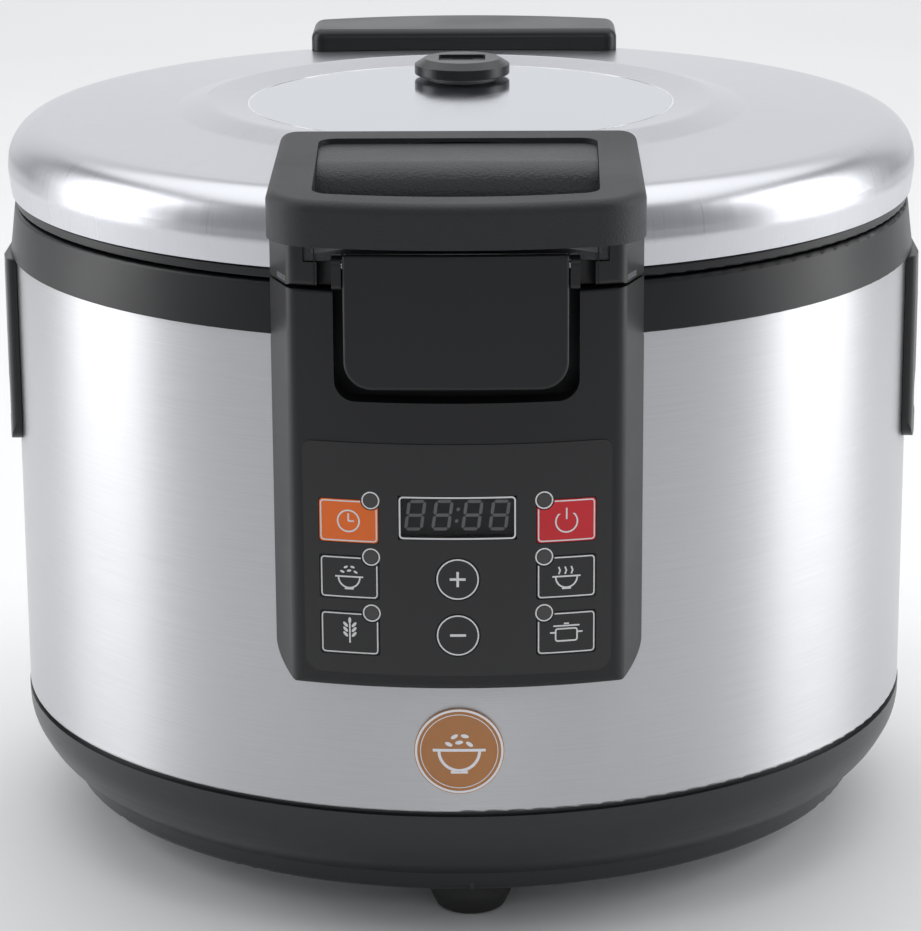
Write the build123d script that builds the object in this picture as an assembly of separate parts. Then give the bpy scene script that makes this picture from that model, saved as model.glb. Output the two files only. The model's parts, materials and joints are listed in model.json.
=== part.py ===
from build123d import *
import os
from math import degrees, radians, sin, sqrt

# Commercial rice cooker with a hinged lid, in millimetres.
# +Z is up, the front faces -Y, and the origin is on the floor under the pot's axis.

# ---- pot, wells and walls (radii)
POT_R = 184.0
POT_T = 2.2
POT_RIM_W = 11.5
POT_DEPTH = 214.0
POT_CORNER_R = 30.0
POT_AIR = 5.0
CHAMBER_T = 1.0
WALL_SPACE = 24.0
CASING_T = 1.0
SHELL_T = 3.0

# ---- heights, from the floor up
FOOT_H = 17.0
FOOT_R = 19.2
FOOT_RING_R = 165.0
FOOT_ANGLES = (1.5, 91.5, 181.5, 271.5)
COVER_T = 1.2
TRAY_H = 61.2
TRAY_GROOVE = 1.8
CHAMBER_FLOOR = 57.0
PLATE_STAND = 15.0
PLATE_T = 13.0
PLATE_R = 150.0
BAND_H = 22.4
BAND_PROUD = 1.2
BAND_TAPER = 2.7
LID_GAP = 1.2

# ---- heater and sensor
ELEMENT_R = 115.0
ELEMENT_TUBE_R = 4.4
SENSOR_R = 15.0
SENSOR_HOLE_R = 25.0
SENSOR_STEM_R = 4.0
SENSOR_TRAVEL = 2.5

# ---- lid
LID_T = 1.0
DISC_R = 101.5
DISC_T = 1.2
LEDGE_W = 13.5
VENT_Y = 67.0
VENT_BORE_R = 11.5
CAP_R = 23.5
CAP_H = 8.0
LID_NOTCH_HALF = 66.0

# ---- handle on the lid
HANDLE_REAR_Y = -103.0
HANDLE_FRONT_R = 250.0
HANDLE_REAR_HALF = 80.0
HANDLE_FRONT_HALF = 80.2
GRIP_DEPTH = 16.0
GRIP_REAR_Y = -122.0
GRIP_REAR_HALF = 62.0
GRIP_FRONT_HALF = 60.0

# ---- control box and latch
BOX_OUT = 20.0
BOX_HALF = 80.2
BOX_FACE_HALF = 71.0
BOX_H = 175.4
BOX_ABOVE_RIM = 3.0
PANEL_DROP = 65.6
PANEL_H = 103.2
PANEL_HALF = 66.1
FILM_T = 0.5
RECESS_HALF = 52.0
RECESS_H = 47.7
LEVER_HALF = 47.2
POST_GAP = 11.4
POST_RECESS = 6.0
LEVER_H = 58.1
LEVER_PROUD = 10.0
PIN_R = 2.0

# ---- keys and display
KEY_W = 25.8
KEY_H = 19.0
KEY_ARC = 46.9
KEY_PITCH = 25.2
KEY_DROP = 34.7
ROUND_KEY_R = 9.4
KEY_GAP = 0.3
KEY_TRAVEL = 0.5
LED_ARC = 37.2
LED_R = 3.0
DISPLAY_W = 50.3
DISPLAY_H = 19.2
DISPLAY_RISE = 2.3
BADGE_ABOVE = 15.3
BADGE_BELOW = 9.7

# ---- rear: hinge and inlet
HINGE_Y_OUT = 3.0
HINGE_ABOVE_RIM = 18.0
SHAFT_R = 4.0
KNUCKLE_R = 7.0
EAR_X = 57.5
EAR_T = 3.0
ARM_X = 53.0
ARM_T = 4.0
HOOD_HALF = 80.0
HOOD_FRONT_Y = 169.0
HOOD_OUT = 10.0
REAR_H = 200.0
INLET_Z = 135.0
INLET_W = 27.5
INLET_H = 20.0

# ---- side handles
SIDE_HALF = 50.0
SIDE_OUT = 4.6
SIDE_H = 90.0
POCKET_HALF = 39.0
POCKET_H = 21.0
POCKET_RISE = 8.4
POCKET_IN = 17.0

# ---- clearances
FIT = 0.2
RUN = 0.05
SOFT = 0.3

# ---- worked out
CHAMBER_R = POT_R + POT_AIR + CHAMBER_T
BODY_R = CHAMBER_R + WALL_SPACE + CASING_T
Z_PLATE_TOP = CHAMBER_FLOOR + CHAMBER_T + PLATE_STAND + PLATE_T
Z_RIM = Z_PLATE_TOP + POT_DEPTH
Z_BAND = Z_RIM - BAND_H
Z_POCKET = Z_BAND - SIDE_H + POCKET_RISE
Z_CASING = TRAY_H + TRAY_GROOVE
Z_LID = Z_RIM + LID_GAP
Z_STEEL = Z_LID + 5.4
LID_R = BODY_R + 1.2
Z_DISC = Z_STEEL + 37.0
BOX_R = BODY_R + BOX_OUT
Z_BOX_TOP = Z_RIM + BOX_ABOVE_RIM
Z_BOX = Z_BOX_TOP - BOX_H
Z_PANEL_TOP = Z_BOX_TOP - PANEL_DROP
BADGE_R = (Z_BOX - Z_CASING - BADGE_ABOVE - BADGE_BELOW) / 2
Z_BADGE = Z_CASING + BADGE_BELOW + BADGE_R
FILM_R = BOX_R + FILM_T
KEY_ROWS = [Z_PANEL_TOP - KEY_DROP - row * KEY_PITCH for row in range(3)]
ROUND_KEYS = [("key_plus", KEY_ROWS[1] + 0.3), ("key_minus", KEY_ROWS[2] + 0.3)]
Z_DISPLAY = KEY_ROWS[0] + DISPLAY_RISE
BOARD_Y = -(BODY_R + 4)
BOARD_POSTS = [(x, z) for x in (-61, 61) for z in (Z_BOX + 9.6, Z_PANEL_TOP - 4)]
KEY_ANGLE = degrees(KEY_ARC / FILM_R)
LED_ANGLE = degrees(LED_ARC / FILM_R)
Z_LEVER_TOP = Z_BOX_TOP + 18.5
Z_HOUSING = Z_BOX_TOP + 1.2
Z_BAR = Z_BOX_TOP + 21.5
Z_TOP_REAR = Z_BAR + 24.0
Z_TOP_FRONT = Z_BAR + 18.9
LEVER_R = BOX_R + LEVER_PROUD
POST_INNER = LEVER_HALF + POST_GAP
PIVOT_Y = -(LEVER_R - 7.0)
Z_PIVOT = Z_LEVER_TOP - 5.5
HINGE_Y = BODY_R + HINGE_Y_OUT
Z_HINGE = Z_RIM + HINGE_ABOVE_RIM


# ---- helpers
def outline(points, plane=Plane.XZ):
    """Face on a plane from (across, up) points, each with an optional corner radius."""
    corners = [(p[0], p[1]) for p in points]
    radii = [p[2] if len(p) > 2 else 0 for p in points]
    if any(radii):
        return plane * make_face(FilletPolyline(*corners, radius=radii, close=True))
    return plane * make_face(Polyline(*corners, close=True))


def turned(points):
    """Solid turned about +Z from (radius, height) points."""
    return revolve(outline(points), Axis.Z)


def skin(path, thickness):
    """Closed outline of even thickness on the left of an open path."""
    inner = []
    for i, point in enumerate(path):
        here = Vector(point[0], point[1])
        ahead = (Vector(*path[i + 1][:2]) - here).normalized() if i + 1 < len(path) else None
        behind = (here - Vector(*path[i - 1][:2])).normalized() if i else ahead
        ahead = ahead or behind
        side_a = Vector(-ahead.Y, ahead.X)
        side_b = Vector(-behind.Y, behind.X)
        shifted = here + (side_a + side_b) * (thickness / (1 + side_a.dot(side_b)))
        radius = point[2] if len(point) > 2 else 0
        left_turn = behind.X * ahead.Y - behind.Y * ahead.X > 0
        if radius:
            radius = max(0, radius - thickness) if left_turn else radius + thickness
        inner.append((shifted.X, shifted.Y, radius))
    return list(path) + inner[::-1]


def drum(radius, low, high):
    """Upright cylinder on the Z axis."""
    return Pos(0, 0, low) * Cylinder(radius, high - low, align=(Align.CENTER, Align.CENTER, Align.MIN))


def tube(outer, inner, low, high):
    """Upright tube on the Z axis."""
    return drum(outer, low, high) - drum(inner, low - 1, high + 1)


def block(x, y, z):
    """Box from three (low, high) pairs."""
    size = (x[1] - x[0], y[1] - y[0], z[1] - z[0])
    return Pos((x[0] + x[1]) / 2, (y[0] + y[1]) / 2, (z[0] + z[1]) / 2) * Box(*size)


def rod_x(radius, low, high, y, z):
    """Cylinder along X."""
    return Pos((low + high) / 2, y, z) * Rot(0, 90, 0) * Cylinder(radius, high - low)


def radial(radius, low, high, angle, z):
    """Cylinder that points out from the axis; angle 0 is the front, positive towards +X."""
    rod = Pos(0, -(low + high) / 2, z) * Rot(90, 0, 0) * Cylinder(radius, high - low)
    return Rot(0, 0, angle) * rod


def across(points, low, high):
    """Prism along X from (y, z) points."""
    return Pos(low, 0, 0) * extrude(outline(points, Plane.YZ), high - low)


def both(shape):
    """The shape and its mirror image across the YZ plane."""
    return [shape, mirror(shape, Plane.YZ)]


def ring_of(shape, angles):
    """Copies of a shape turned about the axis."""
    return [Rot(0, 0, angle) * shape for angle in angles]


def coil(radius, wire, pitch, turns):
    """Helical wire about +Z from the origin."""
    path = Helix(pitch, pitch * turns, radius)
    return sweep(Plane(path @ 0, z_dir=path % 0) * Circle(wire), path, is_frenet=True)


pieces = {}


def keep(name, *solids):
    """Store a piece, or a group of separate solids, under its node name."""
    found = []
    for solid in solids:
        found += list(solid) if isinstance(solid, (list, tuple)) else [solid]
    parts = [s for shape in found for s in shape.solids()]
    pieces[name] = parts[0] if len(parts) == 1 else Compound(children=parts)
    return pieces[name]


# ---- base
def base_tray():
    wall = turned(skin([
        (BODY_R - 36.4, FOOT_H),
        (BODY_R - 22.2, FOOT_H, 4),
        (BODY_R - 19.4, FOOT_H + 9.5, 1.5),
        (BODY_R - 8, FOOT_H + 19, 30),
        (BODY_R, TRAY_H - 11.2, 25),
        (BODY_R + 0.3, TRAY_H),
    ], SHELL_T))
    ledge = tube(BODY_R - 1.8, BODY_R - 15, Z_CASING - 7, Z_CASING)
    floor_ring = tube(BODY_R - 33, FOOT_RING_R - 12, FOOT_H + COVER_T, FOOT_H + COVER_T + SHELL_T)
    boss = Pos(0, -FOOT_RING_R, 0) * tube(7, 2.1, FOOT_H + COVER_T, FOOT_H + 15)
    tray = wall + ledge + floor_ring
    for foot in ring_of(Pos(0, -FOOT_RING_R, 0) * drum(2.1, 0, FOOT_H + 20), FOOT_ANGLES):
        tray -= foot
    for post in ring_of(boss, FOOT_ANGLES):
        tray += post
    rib = block((-1, 1), (-(BODY_R - 21), -(FOOT_RING_R + 5)), (FOOT_H + COVER_T, FOOT_H + 13))
    for web in ring_of(rib, FOOT_ANGLES):
        tray += web
    keep("base_tray", tray)


def bottom_cover():
    plate = drum(BODY_R - 36.7, FOOT_H, FOOT_H + COVER_T)
    for hole in ring_of(Pos(0, -FOOT_RING_R, 0) * drum(2.3, 0, 2 * FOOT_H), FOOT_ANGLES):
        plate -= hole
    slot = Pos(0, 0, FOOT_H - 1) * extrude(SlotCenterToCenter(26, 4), COVER_T + 2)
    for turn in (45, 135, 225, 315):
        for reach in (60, 74, 88, 102):
            plate -= Rot(0, 0, turn) * Pos(0, -reach, 0) * slot
    keep("bottom_cover", plate)


def feet():
    puck = turned([
        (2.3, FOOT_H), (FOOT_R, FOOT_H, 0.6), (FOOT_R, FOOT_H / 2, 6), (FOOT_R - 4, 0, 3), (6, 0, 0.5),
        (6, FOOT_H / 2), (2.3, FOOT_H / 2),
    ])
    keep("rubber_feet", ring_of(Pos(0, -FOOT_RING_R, 0) * puck, FOOT_ANGLES))


# ---- body shells
def outer_casing():
    shell = turned(skin([
        (BODY_R - 11.5, Z_CASING), (BODY_R, Z_CASING, 1.5), (BODY_R, Z_BAND + 3.8),
    ], CASING_T))
    for side in both(block((BODY_R - 20, BODY_R + 5), (-POCKET_HALF - 3.2, POCKET_HALF + 3.2),
                           (Z_POCKET - 3.2, Z_POCKET + POCKET_H + 3.2))):
        shell -= side
    shell -= block((-INLET_W / 2 - 4, INLET_W / 2 + 4), (BODY_R - 20, BODY_R + 5),
                   (INLET_Z - INLET_H / 2 - 4, INLET_Z + INLET_H / 2 + 4))
    shell -= radial(9, BODY_R - 10, BODY_R + 5, 0, Z_BOX + 12)
    for screw in bracket_screw_places(2.6, BODY_R - 12, BODY_R + 5):
        shell -= screw
    keep("outer_casing", shell)


def upper_ring():
    seat = Z_RIM - POT_T - 2
    groove_in = BODY_R - CASING_T - FIT
    groove_out = BODY_R + FIT / 2
    keep("upper_ring", turned([
        (BODY_R + BAND_PROUD, Z_BAND, 0.4),
        (BODY_R + BAND_PROUD - BAND_TAPER, Z_RIM, 2),
        (CHAMBER_R + 9.2, Z_RIM),
        (CHAMBER_R + 9.2, seat),
        (CHAMBER_R + 0.3, seat),
        (CHAMBER_R + 0.3, seat - 4),
        (BODY_R - 6, seat - 4),
        (BODY_R - 6, Z_BAND),
        (groove_in, Z_BAND),
        (groove_in, Z_BAND + 4),
        (groove_out, Z_BAND + 4),
        (groove_out, Z_BAND),
    ]))


def side_handles():
    low = Z_BAND - SIDE_H
    high = Z_BAND - FIT
    reach = BODY_R + SIDE_OUT
    drop = 2.0
    end_x = sqrt(reach ** 2 - SIDE_HALF ** 2)
    plan = make_face([
        Line((BODY_R - 12, -SIDE_HALF), (end_x, -SIDE_HALF)),
        ThreePointArc((end_x, -SIDE_HALF), (reach, 0), (end_x, SIDE_HALF)),
        Line((end_x, SIDE_HALF), (BODY_R - 12, SIDE_HALF)),
        Line((BODY_R - 12, SIDE_HALF), (BODY_R - 12, -SIDE_HALF)),
    ])
    plan = fillet(plan.vertices().group_by(Axis.X)[-1], 4)
    pad = Pos(0, 0, low) * extrude(plan, high - low)
    side_view = outline([
        (BODY_R - 30, low), (reach + 1, low, 4), (reach + 1, high - 26),
        (reach - 2.2, high - 20), (BODY_R + BAND_PROUD + 0.2, high), (BODY_R - 30, high),
    ])
    pad &= extrude(side_view, SIDE_HALF + 5, both=True)
    front_view = outline([
        (-SIDE_HALF, low, 12), (SIDE_HALF, low, 12), (SIDE_HALF, high, 2), (-SIDE_HALF, high, 2),
    ], Plane.YZ)
    pad &= extrude(front_view, 2 * BODY_R)
    pad -= drum(BODY_R + FIT, low - 5, high + 5)
    pocket = (-POCKET_HALF, POCKET_HALF), (Z_POCKET, Z_POCKET + POCKET_H)
    inner = reach - drop - POCKET_IN
    cup = block((inner - 2.5, BODY_R + 2), (pocket[0][0] - 2.5, pocket[0][1] + 2.5),
                (pocket[1][0] - 2.5, pocket[1][1] + 2.5))
    mouth = fillet(block((inner, BODY_R + 20), *pocket).edges().filter_by(Axis.X), 7)
    pad = pad + (cup & drum(reach - drop, low, high)) - mouth
    keep("side_handle_right", pad)
    keep("side_handle_left", mirror(pad, Plane.YZ))


def inner_chamber():
    seat = Z_RIM - POT_T - 2
    well = turned(skin([
        (8.3, CHAMBER_FLOOR), (CHAMBER_R, CHAMBER_FLOOR, 12), (CHAMBER_R, seat),
        (CHAMBER_R + 8.8, seat),
    ], CHAMBER_T))
    for hole in element_leads(ELEMENT_TUBE_R + 1.2):
        well -= hole
    keep("inner_chamber", well)


def inner_pot():
    rim = Z_RIM - POT_T
    keep("inner_pot", turned(skin([
        (0, Z_PLATE_TOP), (POT_R, Z_PLATE_TOP, POT_CORNER_R), (POT_R, rim, 0.3),
        (POT_R + POT_RIM_W, rim),
    ], POT_T)))


# ---- heat
def element_leads(radius):
    """The two cold ends of the element, down through the chamber's floor."""
    top = CHAMBER_FLOOR + CHAMBER_T + PLATE_STAND + 1
    low = CHAMBER_FLOOR - 12
    return [Rot(0, 0, turn) * Pos(0, ELEMENT_R, 0) * drum(radius, low, top) for turn in (-6, 6)]


def heating_plate():
    under = Z_PLATE_TOP - PLATE_T
    plate = turned([
        (SENSOR_HOLE_R, under), (PLATE_R, under, 3), (PLATE_R + 2, Z_PLATE_TOP - 5, 2),
        (PLATE_R + 2, Z_PLATE_TOP, 1.5), (SENSOR_HOLE_R, Z_PLATE_TOP, 1),
    ])
    for leg in ring_of(Pos(0, -PLATE_R + 16, 0) * drum(6, under - PLATE_STAND, under + 1), (60, 180, 300)):
        plate += leg
    plate -= Pos(0, 0, under) * Torus(ELEMENT_R, ELEMENT_TUBE_R + 0.1)
    keep("heating_plate", plate)
    section = Plane.XZ * Pos(ELEMENT_R, under) * Circle(ELEMENT_TUBE_R)
    ring = Rot(0, 0, 95) * revolve(section, Axis.Z, 350)
    for lead in element_leads(3):
        ring += lead
    keep("heating_element", ring)


def side_heater():
    keep("side_heater_band", tube(CHAMBER_R + 2.4, CHAMBER_R + 0.1, Z_PLATE_TOP + 64, Z_PLATE_TOP + 100))


def sensor():
    floor = CHAMBER_FLOOR + CHAMBER_T
    top = Z_PLATE_TOP - SOFT
    spring_low = floor + 2
    cap_under = top - 4.5
    holder = tube(8, SENSOR_STEM_R + RUN, floor - 12, floor + 4)
    holder += tube(16, SENSOR_STEM_R + RUN, floor, spring_low)
    keep("sensor_holder", holder)
    cap = turned([
        (0, cap_under), (SENSOR_R - 1.6, cap_under), (SENSOR_R - 1.6, top - 11), (SENSOR_R, top - 11),
        (SENSOR_R, top, 1.5), (0, top),
    ])
    stem_low = floor - 12 - SENSOR_TRAVEL - 1.5
    cap += drum(SENSOR_STEM_R, stem_low, cap_under)
    cap += drum(6, stem_low + 0.6, stem_low + 1.8)
    keep("sensor_cap", cap)
    wire = 0.7
    turns = 5
    lift = cap_under - spring_low - 2 * wire
    spring = Pos(0, 0, spring_low + wire) * coil(10.6, wire, lift / turns, turns)
    keep("sensor_spring", spring)


def thermal_fuse():
    body = rod_x(2.6, 60, 76, 0, CHAMBER_FLOOR - 2.7)
    keep("thermal_fuse", Rot(0, 0, 35) * body)


def power_board():
    low = FOOT_H + COVER_T + 6
    deck = (-125, -35), (-30, 30)
    board = block(*deck, (low, low + 1.6))
    stand_x = (deck[0][0] + 6, deck[0][1] - 6)
    stand_y = (deck[1][0] + 6, deck[1][1] - 6)
    corners = [(x, y) for x in stand_x for y in stand_y]
    stands = []
    for x, y in corners:
        board -= Pos(x, y, 0) * drum(1.7, low - 5, low + 5)
        post = drum(3.2, FOOT_H + COVER_T, low) + drum(1.6, low - 1, low + 1.6)
        post += drum(3, low + 1.6, low + 3.4)
        stands.append(Pos(x, y, 0) * post)
    keep("power_board", board)
    top = low + 1.6
    transformer = fillet(block((-112, -78), (-14, 16), (top, top + 26)).edges().filter_by(Axis.Z), 2)
    relay = fillet(block((-66, -46), (-18, -2), (top, top + 16)).edges().filter_by(Axis.Z), 1.5)
    capacitor = Pos(-56, 14, 0) * fillet(drum(6, top, top + 20).edges().group_by(Axis.Z)[-1], 1)
    keep("power_components", transformer, relay, capacitor)
    return stands


# ---- control box
def box_plan():
    """Plan of the control box, reaching back inside the casing."""
    back = BODY_R - 25
    bend = sqrt((BODY_R + 1) ** 2 - BOX_HALF ** 2)
    face = sqrt(BOX_R ** 2 - BOX_FACE_HALF ** 2)
    plan = make_face([
        Line((-BOX_HALF, -back), (BOX_HALF, -back)),
        Line((BOX_HALF, -back), (BOX_HALF, -bend)),
        Line((BOX_HALF, -bend), (BOX_FACE_HALF, -face)),
        ThreePointArc((BOX_FACE_HALF, -face), (0, -BOX_R), (-BOX_FACE_HALF, -face)),
        Line((-BOX_FACE_HALF, -face), (-BOX_HALF, -bend)),
        Line((-BOX_HALF, -bend), (-BOX_HALF, -back)),
    ])
    return fillet(plan.vertices().group_by(Axis.Y)[0], 7)


def box_form(low, high, corner, inset=0):
    """Solid of the control box between two heights, with rounded lower corners."""
    plan = box_plan()
    if inset:
        plan = offset(plan, -inset)
    half = BOX_HALF - inset
    form = Pos(0, 0, low) * extrude(plan, high - low)
    face = outline([(-half, low, corner), (half, low, corner), (half, high), (-half, high)])
    form &= extrude(face, BOX_R + 5)
    outer = BOX_R - inset
    return form & turned([(BODY_R - 40, low), (outer, low, 2.5), (outer, high, 1.2), (BODY_R - 40, high)])


def body_clear(extra=0.0):
    """What the casing and the upper ring fill, with a fit all round."""
    casing = drum(BODY_R + FIT + extra, 0, Z_BAND - 1)
    return casing + drum(BODY_R + BAND_PROUD + FIT + extra, Z_BAND - 1, Z_RIM + 40)


def key_shape(grow, low, high, side):
    """Key prism at the front, to be turned to its angle: a rounded rectangle less the lamp's corner."""
    half_w = KEY_W / 2 + grow
    half_h = KEY_H / 2 + grow
    plate = extrude(Plane.XZ * RectangleRounded(2 * half_w, 2 * half_h, 1.5), FILM_R + 20)
    lamp = extrude(Plane.XZ * Pos(-side * (KEY_ARC - LED_ARC), KEY_H / 2) * Circle(LED_R + 1.4 - grow),
                   FILM_R + 20)
    return (plate - lamp) & tube(high, low, -60, 60)


def round_key_shape(grow, low, high):
    plate = extrude(Plane.XZ * Circle(ROUND_KEY_R + grow), FILM_R + 20)
    return plate & tube(high, low, -60, 60)


def key_places():
    """Name, angle and height of each rectangular key."""
    names = [("key_timer", "key_cancel"), ("key_rice", "key_porridge"), ("key_husked_rice", "key_soup")]
    places = []
    for row, pair in enumerate(names):
        for side, name in zip((-1, 1), pair):
            places.append((name, side, KEY_ROWS[row]))
    return places


def control_box():
    box = box_form(Z_BOX, Z_BOX_TOP, 13)
    hollow = box_form(Z_BOX + SHELL_T, Z_BOX_TOP - SHELL_T, 10, SHELL_T)
    recess_floor = Z_BOX_TOP - RECESS_H
    recess_r = BODY_R + 7
    pocket_wall = block((-RECESS_HALF - SHELL_T, RECESS_HALF + SHELL_T), (-BOX_R - 5, -BODY_R + 30),
                        (recess_floor - SHELL_T, Z_BOX_TOP + 5))
    pocket_wall -= drum(recess_r - SHELL_T, 0, Z_BOX_TOP + 10)
    recess = outline([
        (-RECESS_HALF, recess_floor, 9), (RECESS_HALF, recess_floor, 9),
        (RECESS_HALF, Z_BOX_TOP + 5), (-RECESS_HALF, Z_BOX_TOP + 5),
    ])
    recess = extrude(recess, BOX_R + 10) - drum(recess_r, 0, Z_BOX_TOP + 10)
    box = box - (hollow - pocket_wall) - recess - body_clear()
    for x, z in BOARD_POSTS:
        post = Pos(x, (BOARD_Y - BOX_R) / 2, z) * Rot(90, 0, 0) * Cylinder(3, BOX_R + BOARD_Y)
        box += post & drum(BOX_R - 1, 0, Z_BOX_TOP)
        box -= Pos(x, BOARD_Y, z) * Rot(90, 0, 0) * Cylinder(1.3, 8)
    inner = BOX_R - SHELL_T - 2
    for name, side, z in key_places():
        box -= Rot(0, 0, side * KEY_ANGLE) * Pos(0, 0, z) * key_shape(KEY_GAP, inner, FILM_R + 5, side)
        box -= radial(LED_R + 0.1, inner, FILM_R + 5, side * LED_ANGLE, z + KEY_H / 2)
    for name, z in ROUND_KEYS:
        box -= Pos(0, 0, z) * round_key_shape(KEY_GAP, inner, FILM_R + 5)
    box -= block((-DISPLAY_W / 2 - 0.2, DISPLAY_W / 2 + 0.2), (-BOX_R - 5, -inner + 2),
                 (Z_DISPLAY - DISPLAY_H / 2 - 0.2, Z_DISPLAY + DISPLAY_H / 2 + 0.2))
    keep("control_box", box)


def panel_overlay():
    film = outline([
        (-PANEL_HALF, Z_PANEL_TOP - PANEL_H, 7), (PANEL_HALF, Z_PANEL_TOP - PANEL_H, 7),
        (PANEL_HALF, Z_PANEL_TOP, 4), (-PANEL_HALF, Z_PANEL_TOP, 4),
    ])
    film = extrude(film, FILM_R + 5) & tube(FILM_R, BOX_R, 0, Z_BOX_TOP)
    for name, side, z in key_places():
        film -= Rot(0, 0, side * KEY_ANGLE) * Pos(0, 0, z) * key_shape(KEY_GAP, BOX_R - 2, FILM_R + 2, side)
        film -= radial(LED_R + 0.1, BOX_R - 2, FILM_R + 2, side * LED_ANGLE, z + KEY_H / 2)
    for name, z in ROUND_KEYS:
        film -= Pos(0, 0, z) * round_key_shape(KEY_GAP, BOX_R - 2, FILM_R + 2)
    film -= block((-DISPLAY_W / 2 - 0.2, DISPLAY_W / 2 + 0.2), (-BOX_R - 5, -BOX_R + 10),
                  (Z_DISPLAY - DISPLAY_H / 2 - 0.2, Z_DISPLAY + DISPLAY_H / 2 + 0.2))
    keep("panel_overlay", film)


def keys():
    back = BOX_R - SHELL_T - SOFT
    face = FILM_R + 0.1
    for name, side, z in key_places():
        key = key_shape(0, back - 0.5, face, side)
        key += key_shape(1.3, back - 1.6, back, side)
        key += radial(2, back - 1.6 - KEY_TRAVEL, back - 1, 0, 0)
        keep(name, Rot(0, 0, side * KEY_ANGLE) * Pos(0, 0, z) * key)
    for name, z in ROUND_KEYS:
        key = round_key_shape(0, back - 0.5, face) + round_key_shape(1.3, back - 1.6, back)
        key += radial(2.5, -BOARD_Y + 5.8, back - 1, 0, 0)
        keep(name, Pos(0, 0, z) * key)


def display():
    face = FILM_R + 0.05
    lens = block((-DISPLAY_W / 2, DISPLAY_W / 2), (-BOX_R - 5, -BOX_R + 10),
                 (Z_DISPLAY - DISPLAY_H / 2, Z_DISPLAY + DISPLAY_H / 2))
    keep("display_window", lens & tube(face, BOX_R - SHELL_T + 1, 0, Z_BOX_TOP))
    front = -(BOX_R - 4.6)
    module = block((-25.1, 25.1), (front, front + 8), (Z_DISPLAY - 9.5, Z_DISPLAY + 9.5))
    for x in (-18, 18):
        for dz in (-7, 7):
            module += block((x - 3, x + 3), (front + 7, BOARD_Y), (Z_DISPLAY + dz - 0.6, Z_DISPLAY + dz + 0.6))
    keep("display_module", module)
    lamps = [radial(LED_R, BOX_R - SHELL_T, FILM_R + 0.15, side * LED_ANGLE, z + KEY_H / 2)
             for name, side, z in key_places()]
    keep("indicator_lenses", lamps)


def control_board():
    board = block((-66, 66), (BOARD_Y, BOARD_Y + 1.6), (Z_BOX + 5.6, Z_PANEL_TOP))
    for x, z in BOARD_POSTS:
        board -= Pos(x, BOARD_Y, z) * Rot(90, 0, 0) * Cylinder(1.7, 8)
    keep("control_board", board)
    stem_x = (BOX_R - SHELL_T - 2) * sin(radians(KEY_ANGLE))
    spots = [(side * stem_x, z) for name, side, z in key_places()] + [(0, z) for name, z in ROUND_KEYS]
    switches = []
    for x, z in spots:
        switch = block((x - 3, x + 3), (BOARD_Y - 3.5, BOARD_Y), (z - 3, z + 3))
        switches.append(switch + Pos(x, BOARD_Y - 4.2, z) * Rot(90, 0, 0) * Cylinder(1.75, 1.6))
    keep("tact_switches", switches)


def board_screws():
    screws = []
    for x, z in BOARD_POSTS:
        screw = Pos(x, BOARD_Y + 2.5, z) * Rot(90, 0, 0) * Cylinder(2.8, 1.8)
        screw += Pos(x, BOARD_Y - 1, z) * Rot(90, 0, 0) * Cylinder(1.3, 6)
        screws.append(screw)
    return screws


def latch_catch():
    wall = BODY_R + 7
    low = Z_BOX_TOP - 31
    plate = block((-18, 18), (-wall - 10, -wall + 10), (low, low + 20)) & tube(wall + 1.5, wall, 0, Z_BOX_TOP)
    lip = block((-14, 14), (-(BOX_R - 5), -wall + 5), (low + 9, low + 11)) - drum(wall + 0.5, 0, Z_BOX_TOP)
    keep("latch_catch", plate + lip)


def badge():
    z = Z_BADGE
    disc = radial(BADGE_R, BODY_R - 5, BODY_R + 5, 0, z)
    disc &= tube(BODY_R + 1.2, BODY_R, 0, Z_BOX)
    keep("badge", disc)


# ---- rear
def bracket_screw_places(radius, low, high):
    """Radial rods through the hinge bracket's four screw places."""
    return [radial(radius, low, high, 180 + turn, Z_BAND - drop) for turn in (-9, 9) for drop in (16, 48)]


def rear_housing():
    low = Z_RIM - 2 - REAR_H
    high = Z_RIM - 2
    form = box_form(low, high, 13) - box_form(low + SHELL_T, high - SHELL_T, 10, SHELL_T)
    form = Rot(0, 0, 180) * form - body_clear()
    for slot in both(block((EAR_X - EAR_T / 2 - 0.6, EAR_X + EAR_T / 2 + 0.6),
                           (HINGE_Y - 14, HINGE_Y + 7), (high - 5, high + 5))):
        form -= slot
    form -= block((-INLET_W / 2 - 11.2, INLET_W / 2 + 11.2), (BOX_R - 8, BOX_R + 5),
                  (INLET_Z - INLET_H / 2 - 5.2, INLET_Z + INLET_H / 2 + 5.2))
    keep("rear_housing", form)


def hinge_bracket():
    skin_r = BODY_R + FIT / 2
    plate = block((-66, 66), (BODY_R - 30, BODY_R + 10), (Z_BAND - 60, Z_BAND - 3))
    plate &= tube(skin_r + 3, skin_r, 0, Z_RIM)
    for hole in bracket_screw_places(2.6, BODY_R - 5, BODY_R + 10):
        plate -= hole
    ear = across([
        (HINGE_Y - 20, Z_BAND - 50, 4), (HINGE_Y + 4, Z_BAND - 50, 4), (HINGE_Y + 4, Z_RIM - 1, 3),
        (HINGE_Y + 7.5, Z_HINGE), (HINGE_Y - 7.5, Z_HINGE), (HINGE_Y - 20, Z_HINGE - 40),
    ], EAR_X - EAR_T / 2, EAR_X + EAR_T / 2)
    ear += rod_x(8, EAR_X - EAR_T / 2, EAR_X + EAR_T / 2, HINGE_Y, Z_HINGE)
    ear -= rod_x(SHAFT_R, EAR_X - 5, EAR_X + 5, HINGE_Y, Z_HINGE)
    ear -= drum(skin_r, 0, Z_BAND - 1)
    ear -= drum(BODY_R + BAND_PROUD + FIT, Z_BAND - 1, Z_RIM + 5)
    for side in both(ear):
        plate += side
    keep("hinge_bracket", plate)


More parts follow.
